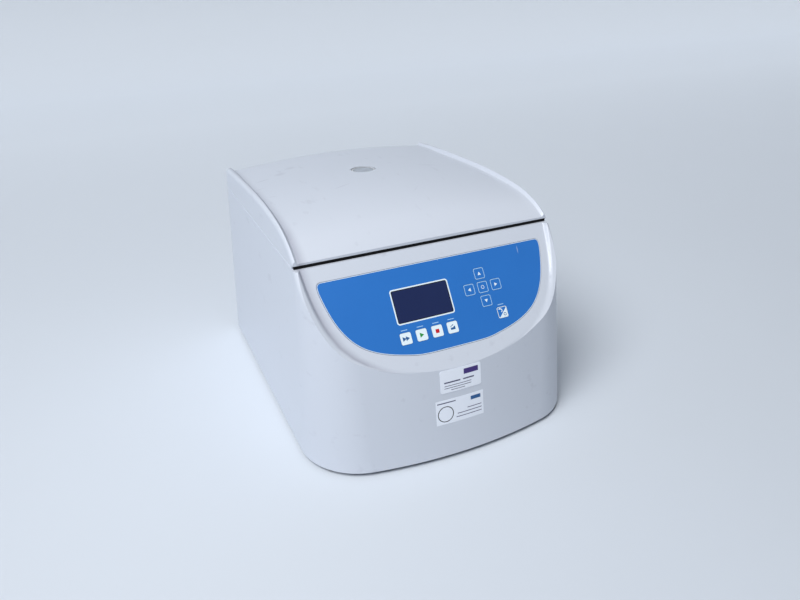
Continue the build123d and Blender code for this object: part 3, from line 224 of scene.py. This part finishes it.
def blackened_steel():
    finish = Finish("black_steel", metallic=0.8)
    scale = finish.noise(5, 5)
    finish.set("Base Color", finish.blend(scale, (0.05, 0.05, 0.055), (0.12, 0.12, 0.125)))
    finish.set("Roughness", scale * 0.25 + 0.4)
    finish.bump(finish.noise(1, 3), 0.02)
    return finish


black_steel = blackened_steel()
clothe(black_steel, "guard_ring")

# ---------------------------------------------------------------------------
# Chamber bowl. Spun from stainless sheet, with fine rings left by the
# spinning tool round its wall and floor.
# ---------------------------------------------------------------------------


def spun_stainless(name, axis, ring=0.6):
    """Stainless with turning marks round an axis at (x, y) metres."""
    finish = Finish(name, metallic=1.0)
    spot = finish.node("ShaderNodeVectorMath", {"operation": "SUBTRACT"}, {0: finish.place(), 1: (*axis, 0)})
    flat = finish.node("ShaderNodeVectorMath", {"operation": "MULTIPLY"}, {0: spot, 1: (1, 1, 0)})
    away = finish.node("ShaderNodeVectorMath", {"operation": "LENGTH"}, {0: flat}, "Value")
    up = finish.node("ShaderNodeSeparateXYZ", {}, {0: spot}, "Z")
    along = finish.node("ShaderNodeCombineXYZ", {}, {0: away, 1: up, 2: 0.0})
    rings = finish.node("ShaderNodeTexNoise", {}, {
        "Vector": along, "Scale": 1 / (ring * MM), "Detail": 3.0,
    }, "Fac")
    finish.set("Base Color", finish.blend(rings, (0.56, 0.57, 0.58), (0.72, 0.73, 0.74)))
    finish.set("Roughness", rings * 0.2 + 0.2)
    finish.bump(rings, 0.01)
    return finish


bowl_low, bowl_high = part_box("chamber_bowl")
rotor_axis = ((bowl_low.x + bowl_high.x) / 2, (bowl_low.y + bowl_high.y) / 2)
stainless = spun_stainless("spun_stainless", rotor_axis)
clothe(stainless, "chamber_bowl")

# ---------------------------------------------------------------------------
# Rotor. A milled and anodised yoke on the motor shaft, held by a steel nut,
# with two pressed carriers that swing on its trunnion pins.
# ---------------------------------------------------------------------------


def anodised():
    finish = Finish("anodised_aluminium", metallic=1.0)
    mark = finish.noise(0.5, 2, (1, 0.06, 1))
    finish.set("Base Color", finish.blend(mark, (0.44, 0.45, 0.47), (0.54, 0.55, 0.57)))
    finish.set("Roughness", mark * 0.12 + 0.34)
    finish.bump(mark, 0.006)
    return finish


def turned_steel():
    finish = Finish("turned_steel", metallic=1.0)
    mark = finish.noise(0.3, 2, (0.1, 0.1, 1))
    finish.set("Base Color", finish.blend(mark, (0.52, 0.53, 0.55), (0.66, 0.67, 0.69)))
    finish.set("Roughness", mark * 0.14 + 0.16)
    finish.bump(mark, 0.004)
    return finish


yoke_finish = anodised()
steel = turned_steel()
clothe(yoke_finish, "rotor_yoke", "carrier_left", "carrier_right")
clothe(steel, "rotor_shaft", "rotor_nut", "trunnion_pins")

# ---------------------------------------------------------------------------
# Lid lock. A folded bracket under the deck, a steel hook on its pin and the
# small geared motor that turns it.
# ---------------------------------------------------------------------------
clothe(zinc, "latch_frame", "latch_motor", "latch_hook")
clothe(steel, "latch_pivot_pin", "lid_striker")

# ---------------------------------------------------------------------------
# Circuit boards. The drive board stands on the base plate and the control
# board and display hang behind the panel, all with green solder resist.
# ---------------------------------------------------------------------------


def solder_resist():
    finish = Finish("solder_resist", coat_weight=0.3)
    track = finish.node("ShaderNodeTexBrick", {"offset": 0.5}, {
        "Vector": finish.place(), "Scale": 180.0, "Color1": (0.010, 0.075, 0.030),
        "Color2": (0.014, 0.095, 0.038), "Mortar": (0.022, 0.14, 0.06), "Mortar Size": 0.012,
    }, "Color")
    finish.set("Base Color", track)
    finish.set("Roughness", finish.noise(2, 2) * 0.1 + 0.3)
    finish.bump(finish.noise(1.2, 1), 0.01)
    return finish


def potted_black():
    finish = Finish("black_plastic")
    grain = finish.noise(0.35, 2)
    finish.set("Base Color", finish.blend(finish.noise(12, 3), (0.014, 0.014, 0.015), (0.026, 0.026, 0.028)))
    finish.set("Roughness", finish.noise(3, 3) * 0.12 + 0.4)
    finish.bump(grain, 0.015)
    return finish


board_green = solder_resist()
black_plastic = potted_black()
clothe(board_green, "drive_board", "control_board", "display_module")
clothe(black_plastic, "drive_components")

# ---------------------------------------------------------------------------
# Rear panel. Powder-coated sheet steel screwed behind the opening in the
# rear wall, with vents, the mains inlet with its fuse drawer, and the switch.
# ---------------------------------------------------------------------------


def powder_coat():
    finish = Finish("powder_coat")
    peel = finish.noise(0.9, 3)
    finish.set("Base Color", finish.blend(finish.noise(30, 3), (0.50, 0.53, 0.58), (0.55, 0.58, 0.63)))
    finish.set("Roughness", peel * 0.12 + 0.42)
    finish.bump(peel, 0.02)
    return finish


def tinned_brass():
    finish = Finish("tinned_brass", metallic=1.0)
    rub = finish.noise(0.4, 2, (1, 0.1, 1))
    finish.set("Base Color", finish.blend(rub, (0.62, 0.56, 0.42), (0.74, 0.70, 0.60)))
    finish.set("Roughness", rub * 0.15 + 0.2)
    return finish


clothe(powder_coat(), "rear_panel")
clothe(black_plastic, "power_inlet", "fuse_drawer", "power_switch_frame", "power_rocker")
clothe(tinned_brass(), "inlet_pins")

# ---------------------------------------------------------------------------
# Casing. One structural-foam moulding in cool light grey, painted, with a
# satin orange-peel surface. Handling has left faint scuffs. Painted shade
# darkens the paint along the foot of its rolled rims.
# ---------------------------------------------------------------------------
film_faces = [face for face in nodes["control_overlay"].data.polygons if face.normal.z > 0.5]
panel_face = max(film_faces, key=lambda face: face.area)
panel_out = panel_face.normal.copy()
panel_up = panel_out.cross(Vector((1, 0, 0)))
# Painted shade along a rim's foot: its reach, and where it darkens and thins, in millimetres past the foot.
fold_shade_reach = 20.0
fold_shade_darkens = (-11.2, 0.8)
fold_shade_thins = (1.6, 6.4)


def painted_fold_shade(finish, past, keep):
    """Patchy painted shade along a rim's foot, from a wire of metres past it and how much is kept."""
    across = past * (1 / (2 * fold_shade_reach * MM)) + 0.5
    start, full, end, unshaded = (0.5 + spot / (2 * fold_shade_reach) for spot in fold_shade_darkens + fold_shade_thins)
    band = finish.ramp(across, start, full) * (1 - finish.ramp(across, end, unshaded)) * keep
    return band ** 1.5 * (finish.noise(25, 3) * 0.4 + 0.7)


def casing_paint(name, marks=(), past_fold=None):
    """Light grey satin paint with scuffs, single marks, and painted shade along a fold.

    A mark is its middle, half length, half width, turn and strength."""
    finish = Finish(name, coat_weight=0.3, coat_roughness=0.22)
    peel = finish.noise(1.6, 3)
    scuff_and_shade = finish.ramp(finish.noise(14, 6, (1, 0.35, 1)), 0.64, 0.74) * 0.2
    for middle, half_length, half_width, turn, strength in marks:
        scuff_and_shade = scuff_and_shade + finish.mark(middle, half_length, half_width, turn) * strength
    if past_fold:
        # Painted shade: the paint is darkened along the foot of a rim, where the rim's own shade falls.
        scuff_and_shade = scuff_and_shade + painted_fold_shade(finish, *past_fold(finish))
    finish.set("Base Color", finish.blend(scuff_and_shade, (0.595, 0.640, 0.725), (0.38, 0.40, 0.475)))
    finish.set("Roughness", peel * 0.1 + scuff_and_shade * 0.06 + 0.36)
    finish.bump(peel, 0.012)
    return finish


rim_foot = (
    (-40, 167.8), (0, 165.8), (25, 163.2), (48, 159.5), (74, 152.5), (98, 141.5), (114.5, 128), (126, 114),
    (138, 94), (150, 64), (165, 39),
)
slope_zero = 130.0
slope_start = -40.0
slope_end = 170.0
foot_widest = 170.0
# Where the panel's painted fold shade ends down the slope, in millimetres.
fold_shade_ends_from = 123.8
fold_shade_ends_below = 153.2


def down_share(down):
    """Millimetres down the panel's slope as a share of the stretch that has a rim."""
    return (down - slope_start) / (slope_end - slope_start)


def past_panel_fold(finish):
    """Metres past the foot of the panel's left rim, and where its painted shade is kept.

    rim_foot lists that foot as millimetres down the slope and out from the middle."""
    spot = finish.place()
    up = finish.node("ShaderNodeVectorMath", {"operation": "DOT_PRODUCT"}, {
        0: spot, 1: tuple(panel_up),
    }, "Value")
    down = ((slope_zero - slope_start) * MM - up) / ((slope_end - slope_start) * MM)
    stops = tuple((down_share(s), x / foot_widest) for s, x in rim_foot)
    foot = finish.node("ShaderNodeValToRGB", {"stops": stops}, {"Fac": down})
    x = finish.node("ShaderNodeSeparateXYZ", {}, {0: spot}, "X")
    kept = 1 - finish.ramp(down, down_share(fold_shade_ends_from), down_share(fold_shade_ends_below))
    return 0 - x - foot * (foot_widest * MM), kept


# The casing's paint carries painted shade along the foot of the panel's left rim.
clothe(casing_paint("casing_paint", past_fold=past_panel_fold), "casing")

# ---------------------------------------------------------------------------
# Control panel film. A blue polyester film stuck in the panel's recess, satin,
# with a white line printed round the display. A dark hairline round its edge is
# painted shade of the gap to the recess wall, and a white line inside that is a
# painted highlight of the recess's lip.
# ---------------------------------------------------------------------------


def printed_film(name, colour, deep, scratches=()):
    """Satin film with a very fine screen texture and any pale scratches, listed as paint marks are."""
    finish = Finish(name, specular_ior_level=0.4)
    shade = finish.blend(finish.noise(60, 2), colour, deep)
    for middle, half_length, half_width, turn, strength in scratches:
        scratch = finish.mark(middle, half_length, half_width, turn) * strength
        shade = finish.blend(scratch, shade, (0.5, 0.6, 0.75))
    finish.set("Base Color", shade)
    finish.set("Roughness", finish.noise(0.5, 2) * 0.1 + 0.34)
    finish.bump(finish.noise(0.25, 1), 0.004)
    return finish


film_scratches = (((118, -156, 0), 0.8, 3.6, -5, 0.5), ((5, -151.5, 0), 0.9, 0.9, 0, 0.4))
film_blue = printed_film("blue_film", (0.021, 0.168, 0.545), (0.017, 0.150, 0.500), film_scratches)
film_white = printed_film("white_film", (0.79, 0.90, 0.96), (0.76, 0.87, 0.94))
clothe(film_blue, "control_overlay")

film_level = max(corner.co.dot(panel_out) for corner in nodes["control_overlay"].data.vertices)
panel_turn = Matrix((Vector((1, 0, 0)), panel_up, panel_out)).transposed().to_4x4()


def panel_place(node, up=0.0, lift=0.0):
    """Placement on the panel at a node's middle: x across, y up the slope, z out."""
    low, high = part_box(node)
    middle = (low + high) / 2 + panel_up * (up * MM) + panel_out * (lift * MM)
    return Matrix.Translation(middle) @ panel_turn


def arc(middle, radius, start, end, steps):
    """Points along an arc between two angles in degrees."""
    x, y = middle
    angles = [math.radians(start + (end - start) * step / steps) for step in range(steps + 1)]
    return [(x + radius * math.cos(angle), y + radius * math.sin(angle)) for angle in angles]


def round_box(width, height, corner, steps=6):
    """Outline of a rounded rectangle in millimetres, anticlockwise."""
    across = width / 2 - corner
    up = height / 2 - corner
    outline = []
    for quarter, middle in enumerate(((across, up), (-across, up), (-across, -up), (across, -up))):
        outline += arc(middle, corner, 90 * quarter, 90 * quarter + 90, steps)
    return outline


def finished(name, shape, finish):
    """Makes a drawn shape into an object of this finish."""
    mesh = bpy.data.meshes.new(name)
    shape.to_mesh(mesh)
    shape.free()
    mesh.materials.append(finish.material)
    piece = bpy.data.objects.new(name, mesh)
    bpy.context.scene.collection.objects.link(piece)
    return piece


def printed(name, outlines, place, finish, body, thick=0.03):
    """A printed mark: thin slabs with these outlines, or rings where an outline has a hole."""
    shape = bmesh.new()
    for outline in outlines:
        outer, hole = outline if isinstance(outline, tuple) else (outline, None)
        if hole:
            count = len(outer)
            rows = [[shape.verts.new((x * MM, y * MM, z * MM)) for x, y in loop]
                    for loop, z in ((outer, 0), (outer, thick), (hole, thick), (hole, 0))]
            for row in range(4):
                for spot in range(count):
                    after = (spot + 1) % count
                    below, above = rows[row], rows[(row + 1) % 4]
                    shape.faces.new((below[spot], below[after], above[after], above[spot]))
        else:
            low = [shape.verts.new((x * MM, y * MM, 0)) for x, y in outer]
            high = [shape.verts.new((x * MM, y * MM, thick * MM)) for x, y in outer]
            shape.faces.new(high)
            shape.faces.new(low[::-1])
            for spot in range(len(outer)):
                after = (spot + 1) % len(outer)
                shape.faces.new((low[spot], low[after], high[after], high[spot]))
    bmesh.ops.recalc_face_normals(shape, faces=shape.faces)
    mark = finished(name, shape, finish)
    mark.matrix_world = place
    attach(mark, body)


def film_outline():
    """Corners round the film's front face, in order, in metres."""
    mesh = nodes["control_overlay"].data
    follow = set()
    for face in mesh.polygons:
        if face.center.dot(panel_out) > film_level - 0.1 * MM:
            corners = [mesh.vertices[index].co for index in face.vertices]
            spots = [tuple(round(value / MM, 3) for value in corner) for corner in corners]
            for start, end in zip(spots, spots[1:] + spots[:1]):
                if (end, start) in follow:
                    follow.remove((end, start))
                else:
                    follow.add((start, end))
    follow = dict(sorted(follow))
    loops = []
    while follow:
        start, end = follow.popitem()
        loop = [start]
        while end in follow:
            loop.append(end)
            end = follow.pop(end)
        loops.append([Vector(spot) * MM for spot in loop])
    return max(loops, key=len)


film_corners = film_outline()
film_first = film_corners[0]
film_flat = [Vector(((spot - film_first).x, (spot - film_first).dot(panel_up))) / MM for spot in film_corners]
film_place = Matrix.Translation(film_first) @ panel_turn


def film_inset(width):
    """The film's outline moved inwards, in panel millimetres."""
    inner = []
    ahead = film_flat[1:] + film_flat[:1]
    behind = film_flat[-1:] + film_flat[:-1]
    for before, spot, after in zip(behind, film_flat, ahead):
        along = (after - before).normalized()
        inner.append((spot.x - along.y * width, spot.y + along.x * width))
    return inner


gap_shade_width = 0.35
lip_highlight_width = 0.6
# Painted shade: a dark hairline round the film's edge stands for the shade in the gap to the recess wall.
gap_shade_ink = printed_film("gap_shade_ink", (0.16, 0.18, 0.25), (0.13, 0.15, 0.21))
printed("film_gap_shade", [(film_inset(0), film_inset(gap_shade_width))], film_place, gap_shade_ink, "base")
# Painted highlight: a white line just inside the dark hairline stands for the light on the recess's lip.
printed("film_lip_highlight", [(film_inset(gap_shade_width), film_inset(gap_shade_width + lip_highlight_width))],
        film_place, film_white, "base")

window_thick = 1.4
display_low, display_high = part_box("display_window")
display_width = (display_high.x - display_low.x) / MM
display_height = ((display_high.z - display_low.z) / MM - window_thick * panel_out.z) / panel_up.z


def display_frame(edge, corner):
    """Outline of the display window moved outwards by edge millimetres."""
    return round_box(display_width + 2 * edge, display_height + 2 * edge, corner)


border_out = 1.25
border_in = -0.3
printed("display_border", [(display_frame(border_out, 3.4), display_frame(border_in, 2.0))],
        panel_place("display_window", lift=window_thick / 2), film_white, "base", 0.05)

# ---------------------------------------------------------------------------
# Display window. Hard-coated clear sheet over a switched-off blue display,
# almost black from outside.
# ---------------------------------------------------------------------------


def dark_window():
    finish = Finish("display_glass", specular_ior_level=0.22)
    finish.set("Base Color", finish.blend(finish.noise(40, 1), (0.008, 0.017, 0.074), (0.010, 0.020, 0.084)))
    finish.set("Roughness", finish.noise(8, 3) * 0.06 + 0.18)
    return finish


clothe(dark_window(), "display_window")
black_ink = printed_film("black_ink", (0.004, 0.004, 0.006), (0.007, 0.007, 0.010))
mask_in = -1.3
printed("display_mask", [(display_frame(border_in, 2.0), display_frame(mask_in, 1.2))],
        panel_place("display_window", lift=window_thick / 2), black_ink, "base", 0.02)

# ---------------------------------------------------------------------------
# Keys. Ten embossed fields of the same film: four white ones in a row, a
# cross of five outlined ones, and one split corner to corner.
# ---------------------------------------------------------------------------
pale_ink = printed_film("pale_ink", (0.42, 0.66, 0.92), (0.38, 0.62, 0.90))
green_ink = printed_film("green_ink", (0.02, 0.28, 0.05), (0.02, 0.24, 0.04))
red_ink = printed_film("red_ink", (0.55, 0.01, 0.02), (0.48, 0.01, 0.02))
blue_ink = printed_film("blue_ink", (0.020, 0.11, 0.30), (0.015, 0.09, 0.26))
key_half = 0.35
key_size = 14.0
key_edge = key_size / 2
key_line = 0.75


def arrow(size, turn, right=0.0):
    """Triangle that points up, turned by quarter turns and moved right."""
    outline = []
    for x, y in ((-0.55, -0.45), (0.55, -0.45), (0, 0.5)):
        for _ in range(turn):
            x, y = -y, x
        outline.append((x * size + right, y * size))
    return outline


def key_mark(key, mark, outlines, finish, lift=key_half):
    """A sign printed on a key, which is pressed with it."""
    printed(f"{key}_{mark}", outlines, panel_place(key, lift=lift), finish, key)


def key_outline(key, finish):
    """A line round a key's edge."""
    inside = key_size - 2 * key_line
    key_mark(key, "outline", [(round_box(key_size, key_size, 2.0), round_box(inside, inside, 1.5))], finish)


white_keys = ("key_short", "key_start", "key_stop", "key_lid")
cross_keys = ("key_up", "key_left", "key_set", "key_right", "key_down")
clothe(film_white, *white_keys)
clothe(film_blue, *cross_keys, "key_back")

key_mark("key_short", "arrows", [arrow(5.2, 3, -2.0), arrow(5.2, 3, 2.3)], blue_ink)
key_mark("key_start", "arrow", [arrow(5.6, 3)], green_ink)
key_mark("key_stop", "square", [round_box(4.8, 4.8, 0.3)], red_ink)
key_mark("key_lid", "body", [[
    (-3.0, -2.9), (3.2, -2.9), (3.2, 1.2), (1.6, 1.2), (0.7, -0.2), (-3.0, -0.2),
]], blue_ink)
key_mark("key_lid", "cover", [[(-3.2, 1.2), (-2.6, 0.7), (1.5, 2.7), (1.1, 3.6)]], blue_ink)
for key in cross_keys:
    key_outline(key, pale_ink)
for turn, key in enumerate(("key_up", "key_left", "key_down", "key_right")):
    key_mark(key, "arrow", [arrow(4.2, turn)], film_white)
key_mark("key_set", "dot", [(round_box(4.6, 4.6, 2.2), round_box(3.4, 3.4, 1.6))], film_white)


def bend(middle, radius, thick, start, end, steps=12):
    """Part of a ring, between two angles in degrees."""
    return arc(middle, radius, start, end, steps) + arc(middle, radius - thick, start, end, steps)[::-1]


key_outline("key_back", film_white)
key_mark("key_back", "corner", [[
    (-key_edge + 1.6, -key_edge + 0.6), (key_edge - 1.2, -key_edge + 0.6),
    (key_edge - 0.6, -key_edge + 1.2), (key_edge - 0.6, key_edge - 1.6),
]], film_white)
key_mark("key_back", "turn", [
    bend((-2.2, 2.4), 2.7, 1.2, -70, 90), [(-2.2, 3.4), (-2.2, 6.0), (-5.0, 4.7)],
], film_white)
key_mark("key_back", "ring", [bend((2.9, -2.9), 2.1, 0.8, 0, 350)], blue_ink, lift=key_half + 0.03)

legend_up = 10.2
legend_width = 8.5
legend_height = 0.8
for key in (*white_keys, "key_back"):
    low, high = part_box(key)
    legend_lift = (film_level - (low + high).dot(panel_out) / 2) / MM
    printed(f"{key}_legend", [round_box(legend_width, legend_height, 0.3)],
            panel_place(key, up=legend_up, lift=legend_lift), pale_ink, "base", 0.02)

# ---------------------------------------------------------------------------
# Labels. Two self-adhesive labels on the front below the panel, printed with
# plain rules to write on, a block and a ring. The upper one is thick, glossy
# and round-cornered. They follow the bowed wall.
# ---------------------------------------------------------------------------


def label_stock(name, **plain):
    finish = Finish(name, **plain)
    finish.set("Base Color", finish.blend(finish.noise(15, 4), (0.81, 0.86, 0.96), (0.85, 0.90, 0.99)))
    finish.set("Roughness", finish.noise(4, 3) * 0.1 + 0.3)
    finish.bump(finish.noise(2, 2), 0.01)
    return finish


casing_wall = BVHTree.FromObject(nodes["casing"], bpy.context.evaluated_depsgraph_get())


def stick(name, middle, grids, finish, lift, thick):
    """Lays thin pieces on the front wall, each a grid of columns of (x, z) millimetres round a middle.

    They lie lift millimetres off the wall and are thick millimetres thick."""
    shape = bmesh.new()
    for grid in grids:
        columns = []
        for column in grid:
            line = []
            for x, z in column:
                start = Vector(((middle[0] + x) * MM, -1, (middle[1] + z) * MM))
                spot, out, _, _ = casing_wall.ray_cast(start, Vector((0, 1, 0)))
                line.append(shape.verts.new(spot + out * lift * MM))
            columns.append(line)
        for left, right in zip(columns, columns[1:]):
            for row in range(len(left) - 1):
                shape.faces.new((left[row], right[row], right[row + 1], left[row + 1]))
    bmesh.ops.remove_doubles(shape, verts=shape.verts, dist=0.001 * MM)
    piece = finished(name, shape, finish)
    stock = piece.modifiers.new("stock", "SOLIDIFY")
    stock.thickness = thick * MM
    stock.offset = 1
    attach(piece, "base")


def label_sheet(width, height, corner, columns=28, rows=8):
    """Grid of a rectangle with round corners, finer towards its ends."""
    grid = []
    for column in range(columns + 1):
        x = width / 2 * math.sin(math.radians(180 * column / columns - 90))
        past = max(abs(x) - (width / 2 - corner), 0)
        reach = height / 2 - corner + math.sqrt(max(corner ** 2 - past ** 2, 0))
        grid.append([(x, reach * (2 * row / rows - 1)) for row in range(rows + 1)])
    return grid


def rule(start, end, z, width, columns=6):
    """Grid of a straight printed rule."""
    return [[(start + (end - start) * column / columns, z + side) for side in (-width / 2, width / 2)]
            for column in range(columns + 1)]


def ring(x, z, radius, width, columns=48):
    """Grid of a printed ring."""
    turns = [math.radians(-360 * column / columns) for column in range(columns + 1)]
    return [[(x + reach * math.cos(turn), z + reach * math.sin(turn)) for reach in (radius - width, radius)]
            for turn in turns]


violet_ink = printed_film("violet_ink", (0.050, 0.024, 0.19), (0.042, 0.020, 0.16))
grey_ink = printed_film("grey_ink", (0.085, 0.09, 0.17), (0.07, 0.075, 0.14))
glue = 0.02
ink_thick = 0.03

upper_middle = (-2.5, 107.8)
upper_thick = 0.4
upper_face = upper_thick + glue
stick("upper_label", upper_middle, [label_sheet(56, 30, 2.5)], label_stock("gloss_label", coat_weight=0.5),
      glue, upper_thick)
stick("upper_label_block", upper_middle, [rule(4, 24, 8.0, 7.0)], violet_ink, upper_face, ink_thick)
stick("upper_label_rules", upper_middle, [
    rule(-23, 18, -1.5, 1.8), rule(-23, 14, -6.0, 0.8), rule(-23, 14, -9.0, 0.8), rule(-14, 5, -12.0, 0.8),
], grey_ink, upper_face, ink_thick)

lower_middle = (-5.3, 67.3)
lower_thick = 0.08
lower_face = lower_thick + glue
stick("lower_label", lower_middle, [label_sheet(66, 33, 0.3)], label_stock("matt_label"), glue, lower_thick)
stick("lower_label_block", lower_middle, [rule(15, 29, 10.0, 5.0)], blue_ink, lower_face, ink_thick)
stick("lower_label_ring", lower_middle, [ring(-20, -3, 10.8, 1.1)], black_ink, lower_face, ink_thick)
stick("lower_label_rules", lower_middle, [
    rule(-31, -6, 12.5, 1.4), rule(10, 30, -1.5, 1.0), rule(-4, 30, -6.0, 1.0), rule(-6, 30, -10.5, 1.0),
], grey_ink, lower_face, ink_thick)

# ---------------------------------------------------------------------------
# Lid. The same painted moulding as the casing over a flat plastic liner,
# with a round window over the chamber and a black sealing strip in front.
# ---------------------------------------------------------------------------


def liner_plastic():
    finish = Finish("liner_plastic")
    finish.set("Base Color", finish.blend(finish.noise(50, 2), (0.55, 0.57, 0.60), (0.60, 0.62, 0.65)))
    finish.set("Roughness", finish.noise(1, 3) * 0.15 + 0.35)
    finish.bump(finish.noise(0.6, 2), 0.01)
    return finish


def seal_rubber():
    """Smooth black rubber, darker than the feet's: painted shade that makes the gap under the lid's front
    read black.
    """
    finish = Finish("seal_rubber", specular_ior_level=0.12)
    finish.set("Base Color", finish.blend(finish.noise(9, 3), (0.003, 0.003, 0.0035), (0.006, 0.006, 0.007)))
    finish.set("Roughness", finish.noise(2, 3) * 0.1 + 0.6)
    finish.bump(finish.noise(0.4, 2), 0.01)
    return finish


def clear_window():
    finish = Finish("clear_window", transmission_weight=0.6, ior=1.49)
    finish.set("Base Color", finish.blend(finish.noise(10, 2), (0.72, 0.78, 0.86), (0.78, 0.84, 0.92)))
    finish.set("Roughness", finish.noise(3, 3) * 0.1 + 0.12)
    return finish


liner = liner_plastic()
lid_marks = (
    ((-56, 13, 0), 20, 0.9, 22, 0.55), ((-110, 135, 0), 12, 9, 20, 0.3), ((-88, 157, 0), 11, 8, 10, 0.25),
    ((-140, 122, 0), 13, 2.5, 15, 0.35), ((-153, 81, 0), 8, 1.2, 12, 0.4), ((-148, 34, 0), 8, 1.5, -29, 0.3),
    ((30, -40, 0), 14, 1.2, 50, 0.15), ((95, 60, 0), 18, 8, -30, 0.12),
)
lid_rim_foot = 163.5


def past_lid_fold(finish):
    """Metres past the foot of the lid's left rim, with painted shade all along it."""
    x = finish.node("ShaderNodeSeparateXYZ", {}, {0: finish.place()}, "X")
    return 0 - x - lid_rim_foot * MM, 1.0


# The lid's paint carries painted shade along the foot of its left rim.
clothe(casing_paint("lid_paint", lid_marks, past_lid_fold), "lid_shell")
# The seal is a real rubber strip, and its extra darkness is painted shade for the gap under the lid's front.
clothe(seal_rubber(), "lid_edge_seal")
clothe(liner, "lid_liner", "sight_tube")
clothe(clear_window(), "inspection_window")

window_low, window_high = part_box("inspection_window")
window_middle = (window_low + window_high) / 2
window_radius = (window_high.x - window_low.x) / MM / 2
bead_width = 1.3


def circle(radius, steps=64):
    """Outline of a round piece in millimetres."""
    return arc((0, 0), radius, 0, 360, steps)[:-1]


window_top = Matrix.Translation((window_middle.x, window_middle.y, window_high.z))
printed("window_bead", [(circle(window_radius - bead_width), circle(window_radius - 2 * bead_width))],
        window_top, liner, "lid", 0.15)

# ---------------------------------------------------------------------------
# Hinges. Two three-knuckle stainless leaf hinges across the gap at the back,
# each on a steel pin and screwed to both walls.
# ---------------------------------------------------------------------------
clothe(steel, "casing_hinge_leaves", "lid_hinge_leaves", "hinge_pins")
clothe(zinc, "base_screws", "rear_panel_screws", "casing_hinge_screws", "lid_hinge_screws", "liner_screws")

# ---------------------------------------------------------------------------
# Bench, light and camera. A seamless pale sweep, a wide soft sun high on the
# left, a round softbox nearer by, and a dim even sky that shows as a pale wall.
# ---------------------------------------------------------------------------
floor_half_width = 30.0
floor_front = -12.0
floor_back = 3.0
wall_turn = 1.5
wall_height = 7.0


def sweep():
    """Level floor that curves up into a wall far behind."""
    shape = bmesh.new()
    profile = [(floor_front, 0.0), (floor_back, 0.0)]
    profile += arc((floor_back, wall_turn), wall_turn, -90, 0, 16)[1:]
    profile.append((floor_back + wall_turn, wall_height))
    rows = [[shape.verts.new((x, y, z)) for x in (-floor_half_width, floor_half_width)] for y, z in profile]
    for low, high in zip(rows, rows[1:]):
        shape.faces.new((low[0], low[1], high[1], high[0])).smooth = True
    finish = Finish("sweep_paper")
    away = finish.node("ShaderNodeSeparateXYZ", {}, {0: finish.place()}, "Y")
    paper = finish.blend(finish.noise(400, 2), (0.60, 0.65, 0.72), (0.62, 0.67, 0.74))
    # Painted light: the paper gets lighter towards the back, making up for the lamps' weaker light there.
    finish.set("Base Color", finish.blend(finish.ramp(away * 0.4 + 0.2, 0.0, 1.0), paper, (0.80, 0.86, 0.94)))
    finish.set("Roughness", finish.noise(20, 2) * 0.1 + 0.75)
    finished("studio_sweep", shape, finish)


sweep()


def lamp(name, kind, place, aim, power):
    """A lamp of this kind at a place, turned to face another."""
    made = bpy.data.objects.new(name, bpy.data.lights.new(name, kind))
    made.data.energy = power
    bpy.context.scene.collection.objects.link(made)
    made.location = place
    made.rotation_euler = (Vector(place) - Vector(aim)).to_track_quat("Z", "Y").to_euler()
    return made.data


sun = lamp("far_lamp", "SUN", (-1.44, -0.78, 2.49), (0, 0, 0), 1.92)
sun.angle = math.radians(40)
softbox = lamp("softbox", "AREA", (-0.62, -0.66, 1.20), (0, 0, 0.2), 8.0)
softbox.shape = "DISK"
softbox.size = 0.8

world = bpy.data.worlds.new("studio")
bpy.context.scene.world = world
world.use_nodes = True
sky = world.node_tree.nodes["Background"]
sky.inputs["Color"].default_value = (0.90, 0.95, 1.0, 1)
sky.inputs["Strength"].default_value = 0.14
wall = world.node_tree.nodes.new("ShaderNodeBackground")
wall.inputs["Color"].default_value = (0.58, 0.63, 0.70, 1)
wall.inputs["Strength"].default_value = 1.0
path = world.node_tree.nodes.new("ShaderNodeLightPath")
join = world.node_tree.links.new
seen = path.outputs["Is Camera Ray"]
for ray in ("Is Glossy Ray", "Is Transmission Ray"):
    either = world.node_tree.nodes.new("ShaderNodeMath")
    either.operation = "MAXIMUM"
    join(seen, either.inputs[0])
    join(path.outputs[ray], either.inputs[1])
    seen = either.outputs[0]
pick = world.node_tree.nodes.new("ShaderNodeMixShader")
join(seen, pick.inputs["Fac"])
join(sky.outputs[0], pick.inputs[1])
join(wall.outputs[0], pick.inputs[2])
join(pick.outputs[0], world.node_tree.nodes["World Output"].inputs["Surface"])

camera_spot = (-0.34474, -0.83574, 0.56148)
azimuth, elevation, roll = (math.radians(angle) for angle in (-23.52, 26.44, -1.77))
level = math.cos(elevation)
back = Vector((math.sin(azimuth) * level, -math.cos(azimuth) * level, math.sin(elevation)))
right = Vector((math.cos(azimuth), math.sin(azimuth), 0))
up = back.cross(right)
turned_right = math.cos(roll) * right + math.sin(roll) * up
turned_up = math.cos(roll) * up - math.sin(roll) * right
camera = bpy.data.objects.new("camera", bpy.data.cameras.new("camera"))
bpy.context.scene.collection.objects.link(camera)
camera_turn = Matrix((turned_right, turned_up, back)).transposed().to_4x4()
camera.matrix_world = Matrix.Translation(camera_spot) @ camera_turn
camera.data.lens = 30.44
bpy.context.scene.camera = camera
bpy.context.scene.view_settings.view_transform = "Standard"
